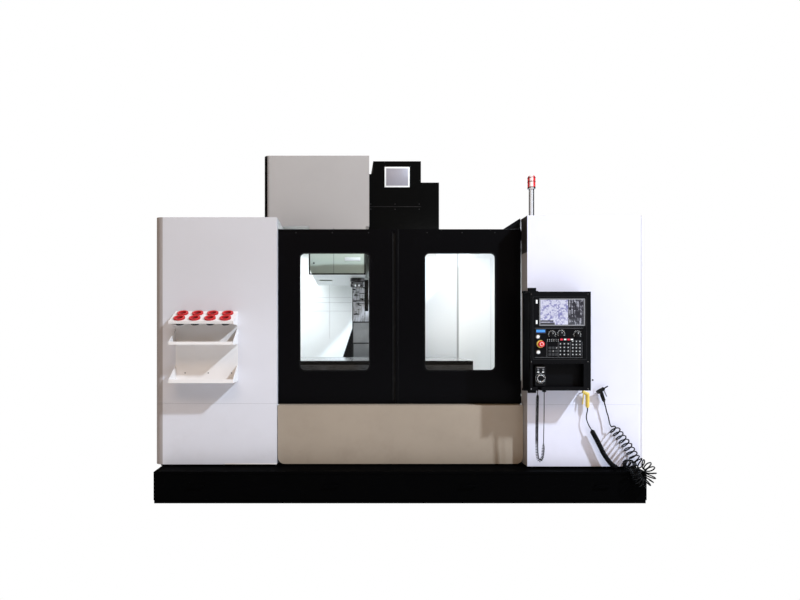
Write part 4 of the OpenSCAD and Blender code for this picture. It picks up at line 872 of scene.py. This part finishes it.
# Magazine cover, seen in the left window
frame_piece("changer_outline", rubber, "machine", (-0.7735, -0.251), (1.9030, 2.3050),
            CHANGER_Y - 0.0015, 0.013, 0.0014, 0.004, 2)
box_piece("changer_seam", rubber, "machine", (-0.5460, CHANGER_Y - 0.0008, 1.915),
          (-0.5435, CHANGER_Y + 0.0005, 2.33))
box_piece("changer_slot", white_plastic, "machine", (-0.445, CHANGER_Y - 0.003, 2.030),
          (-0.300, CHANGER_Y + 0.0005, 2.062), 0.003)
stud_piece("changer_dots", rubber, "machine", ((-0.727, 2.01), (-0.727, 2.28), (-0.29, 2.28)),
           CHANGER_Y + 0.0002, 0.008, 0.004, 0.006, 14)


def changer_lips(bm):
    for x0, x1 in ((-0.70, -0.56), (-0.52, -0.43), (-0.33, -0.252)):
        box(bm, (x0, CHANGER_Y - 0.003, 1.9035), (x1, CHANGER_Y + 0.002, 1.9150), 0.001)


piece("changer_lips", rubber, "machine", changer_lips)


# Inside the work area
def guard_seams(bm):
    front, back = GUARD_Y - 0.0012, GUARD_Y - 0.0001
    for x in (-1.26, 1.26):
        box(bm, (x - 0.001, front, 0.66), (x + 0.001, back, 2.24))
    for z in (1.62, 1.72, 1.78):
        box(bm, (-0.86, front, z), (-0.36, back, z + 0.0016))
    box(bm, (-0.62, front, 1.30), (-0.618, back, 2.10))


piece("guard_seams", grey_plastic, "machine", guard_seams)

# Wipers at the free edges of the telescopic covers, kept clear of the next cover
for n, (body, z) in enumerate((("head", 1.7345), ("z_cover_2", 1.4875), ("z_cover_3", 1.2405))):
    half, y = 0.349 - n * COVER_STEP, Z_COVER_Y + n * COVER_STEP
    box_piece(f"wiper_z_{n + 1}", rubber, body, (-half, y - 0.0022, z),
              (half, y + 0.0005, z + 0.012), 0.0008)
for n, (body, y) in enumerate((("y_cover_2", -0.9938), ("y_cover_3", -1.1278)), 1):
    half, top = 0.399 - n * COVER_STEP, 0.745 - n * COVER_STEP
    box_piece(f"wiper_y_{n + 1}", rubber, body, (-half, y - 0.004, top - 0.0031),
              (half, y + 0.0005, top - 0.0003), 0.0006)
box_piece("wiper_y_1", rubber, "saddle", (-0.398, -0.8598, 0.7447), (0.398, -0.848, 0.7470), 0.0006)


def column_gussets(bm):
    for side in (-1, 1):
        made = bmesh.ops.create_grid(bm, x_segments=1, y_segments=1, size=1,
                                     matrix=upright(side * 0.452, 0.539, 1.09, 0.095, 0.29))
        outer_top = [v for v in made["verts"] if v.co.z > 1.1 and v.co.x * side > 0.5]
        bmesh.ops.translate(bm, verts=outer_top, vec=(-side * 0.185, 0, 0))
        thicken(bm, made["verts"][0].link_faces[:], -0.006)


def coolant_nozzles(bm):
    for k in range(6):
        a = math.radians(30 + 60 * k)
        out = Vector((math.cos(a), math.sin(a), 0))
        at = Vector((0, SPINDLE_Y, 1.9835)) + out * NOZZLE_RING
        rod(bm, at, out * -0.25 - Vector(UP), 0.010, 0.022, 0.006, 16)
        rod(bm, at - out * 0.005 - Vector(UP) * 0.018, out * -0.3 - Vector(UP), 0.0045, 0.014, 0.003, 12)


def spindle_nose_bolts(bm):
    for k in range(8):
        a = math.tau * (k + 0.5) / 8
        at = (BOLT_RING * math.cos(a), SPINDLE_Y + BOLT_RING * math.sin(a), 1.9003)
        rod(bm, at, (0, 0, -1), 0.0055, 0.0015, 0.0045, 6)


piece("column_gussets", control_black, "machine", column_gussets)
piece("coolant_nozzles", bright_steel, "head", coolant_nozzles)
piece("spindle_nose_bolts", black_oxide, "spindle", spindle_nose_bolts)
box_piece("lamp_diffuser", lamp_glow, "machine", (-0.39, -1.0540, 2.186), (0.39, -1.0520, 2.218), 0.0006)


# Signal lamp, back and roof
def beacon_rings(bm):
    for z in (2.606, 2.656, 2.690):
        lathe(bm, [(0.0305, z), (0.0335, z + 0.001), (0.0335, z + 0.006), (0.0305, z + 0.007)], BEACON, UP)


def electrical_hardware(bm):
    box(bm, (-0.108, CABINET_Y, 1.168), (-0.084, CABINET_Y + 0.0085, 1.372), 0.003)
    for z in (0.55, 1.27, 1.99):
        rod(bm, (1.0505, CABINET_Y + 0.0005, z), UP, 0.007, 0.09, bevel=0.001)


def pump_fan_cover(bm):
    for r in (0.078, 0.055, 0.032):
        rod(bm, (1.715, -0.06, 0.3085), UP, r, 0.004)


def roof_bolts(bm):
    for x in (-1.9, -1.3, 1.3, 1.9):
        for y in (-1.15, -0.3, 0.6):
            rod(bm, (x, y, ROOF_Z), UP, 0.011, 0.007, sides=6)


piece("beacon_rings", black_plastic, "machine", beacon_rings)
piece("electrical_hardware", black_oxide, "electrical_door", electrical_hardware)
piece("pump_fan_cover", black_plastic, "machine", pump_fan_cover)
piece("roof_bolts", rough_steel, "machine", roof_bolts)

# Floor
bm = bmesh.new()
bmesh.ops.create_grid(bm, x_segments=1, y_segments=1, size=14)
floor_mesh = bpy.data.meshes.new("floor")
bm.to_mesh(floor_mesh)
bm.free()
floor_mesh.materials.append(floor_material().data)
floor = bpy.data.objects.new("floor", floor_mesh)
scene.collection.objects.link(floor)

# World: white where the camera looks past the machine, dim and warm as a light
world = bpy.data.worlds.new("studio")
scene.world = world
world.use_nodes = True
nodes, links = world.node_tree.nodes, world.node_tree.links
dim = nodes["Background"]
dim.inputs["Color"].default_value = (1, 0.88, 0.77, 1)
dim.inputs["Strength"].default_value = 0.3
white = nodes.new("ShaderNodeBackground")
white.inputs["Color"].default_value = (1, 1, 1, 1)
white.inputs["Strength"].default_value = 1.0
rays = nodes.new("ShaderNodeLightPath")
mixer = nodes.new("ShaderNodeMixShader")
links.new(rays.outputs["Is Camera Ray"], mixer.inputs[0])
links.new(dim.outputs[0], mixer.inputs[1])
links.new(white.outputs[0], mixer.inputs[2])
links.new(mixer.outputs[0], nodes["World Output"].inputs[0])


def area(name, place, target, size, power, color=(1, 1, 1)):
    """A rectangular lamp that looks at a target."""
    data = bpy.data.lights.new(name, "AREA")
    data.shape = "RECTANGLE"
    data.size, data.size_y = size
    data.energy = power
    data.color = color
    lamp = bpy.data.objects.new(name, data)
    lamp.location = place
    lamp.rotation_euler = (Vector(target) - Vector(place)).to_track_quat("-Z", "Y").to_euler()
    scene.collection.objects.link(lamp)


area("key", (6.5, -6.6, 8.3), (0.3, -1.2, 1.2), (0.5, 0.5), 1500, (0.74, 0.86, 1.0))
area("fill", (-1.0, -13.0, 11.0), (-0.1, -1.2, 1.2), (8.0, 4.0), 600, (1.0, 0.77, 0.58))
area("inside_left", (-1.15, -0.1, 2.22), (-1.1, 0.1, 1.0), (0.7, 0.7), 15, (0.95, 0.98, 1.0))
area("inside_right", (1.0, -0.3, 2.22), (1.0, 0.1, 1.2), (0.8, 0.7), 10, (0.95, 0.98, 1.0))
area("inside_low", (0.55, -0.9, 2.22), (-0.1, 0.3, 1.2), (0.5, 0.2), 8)
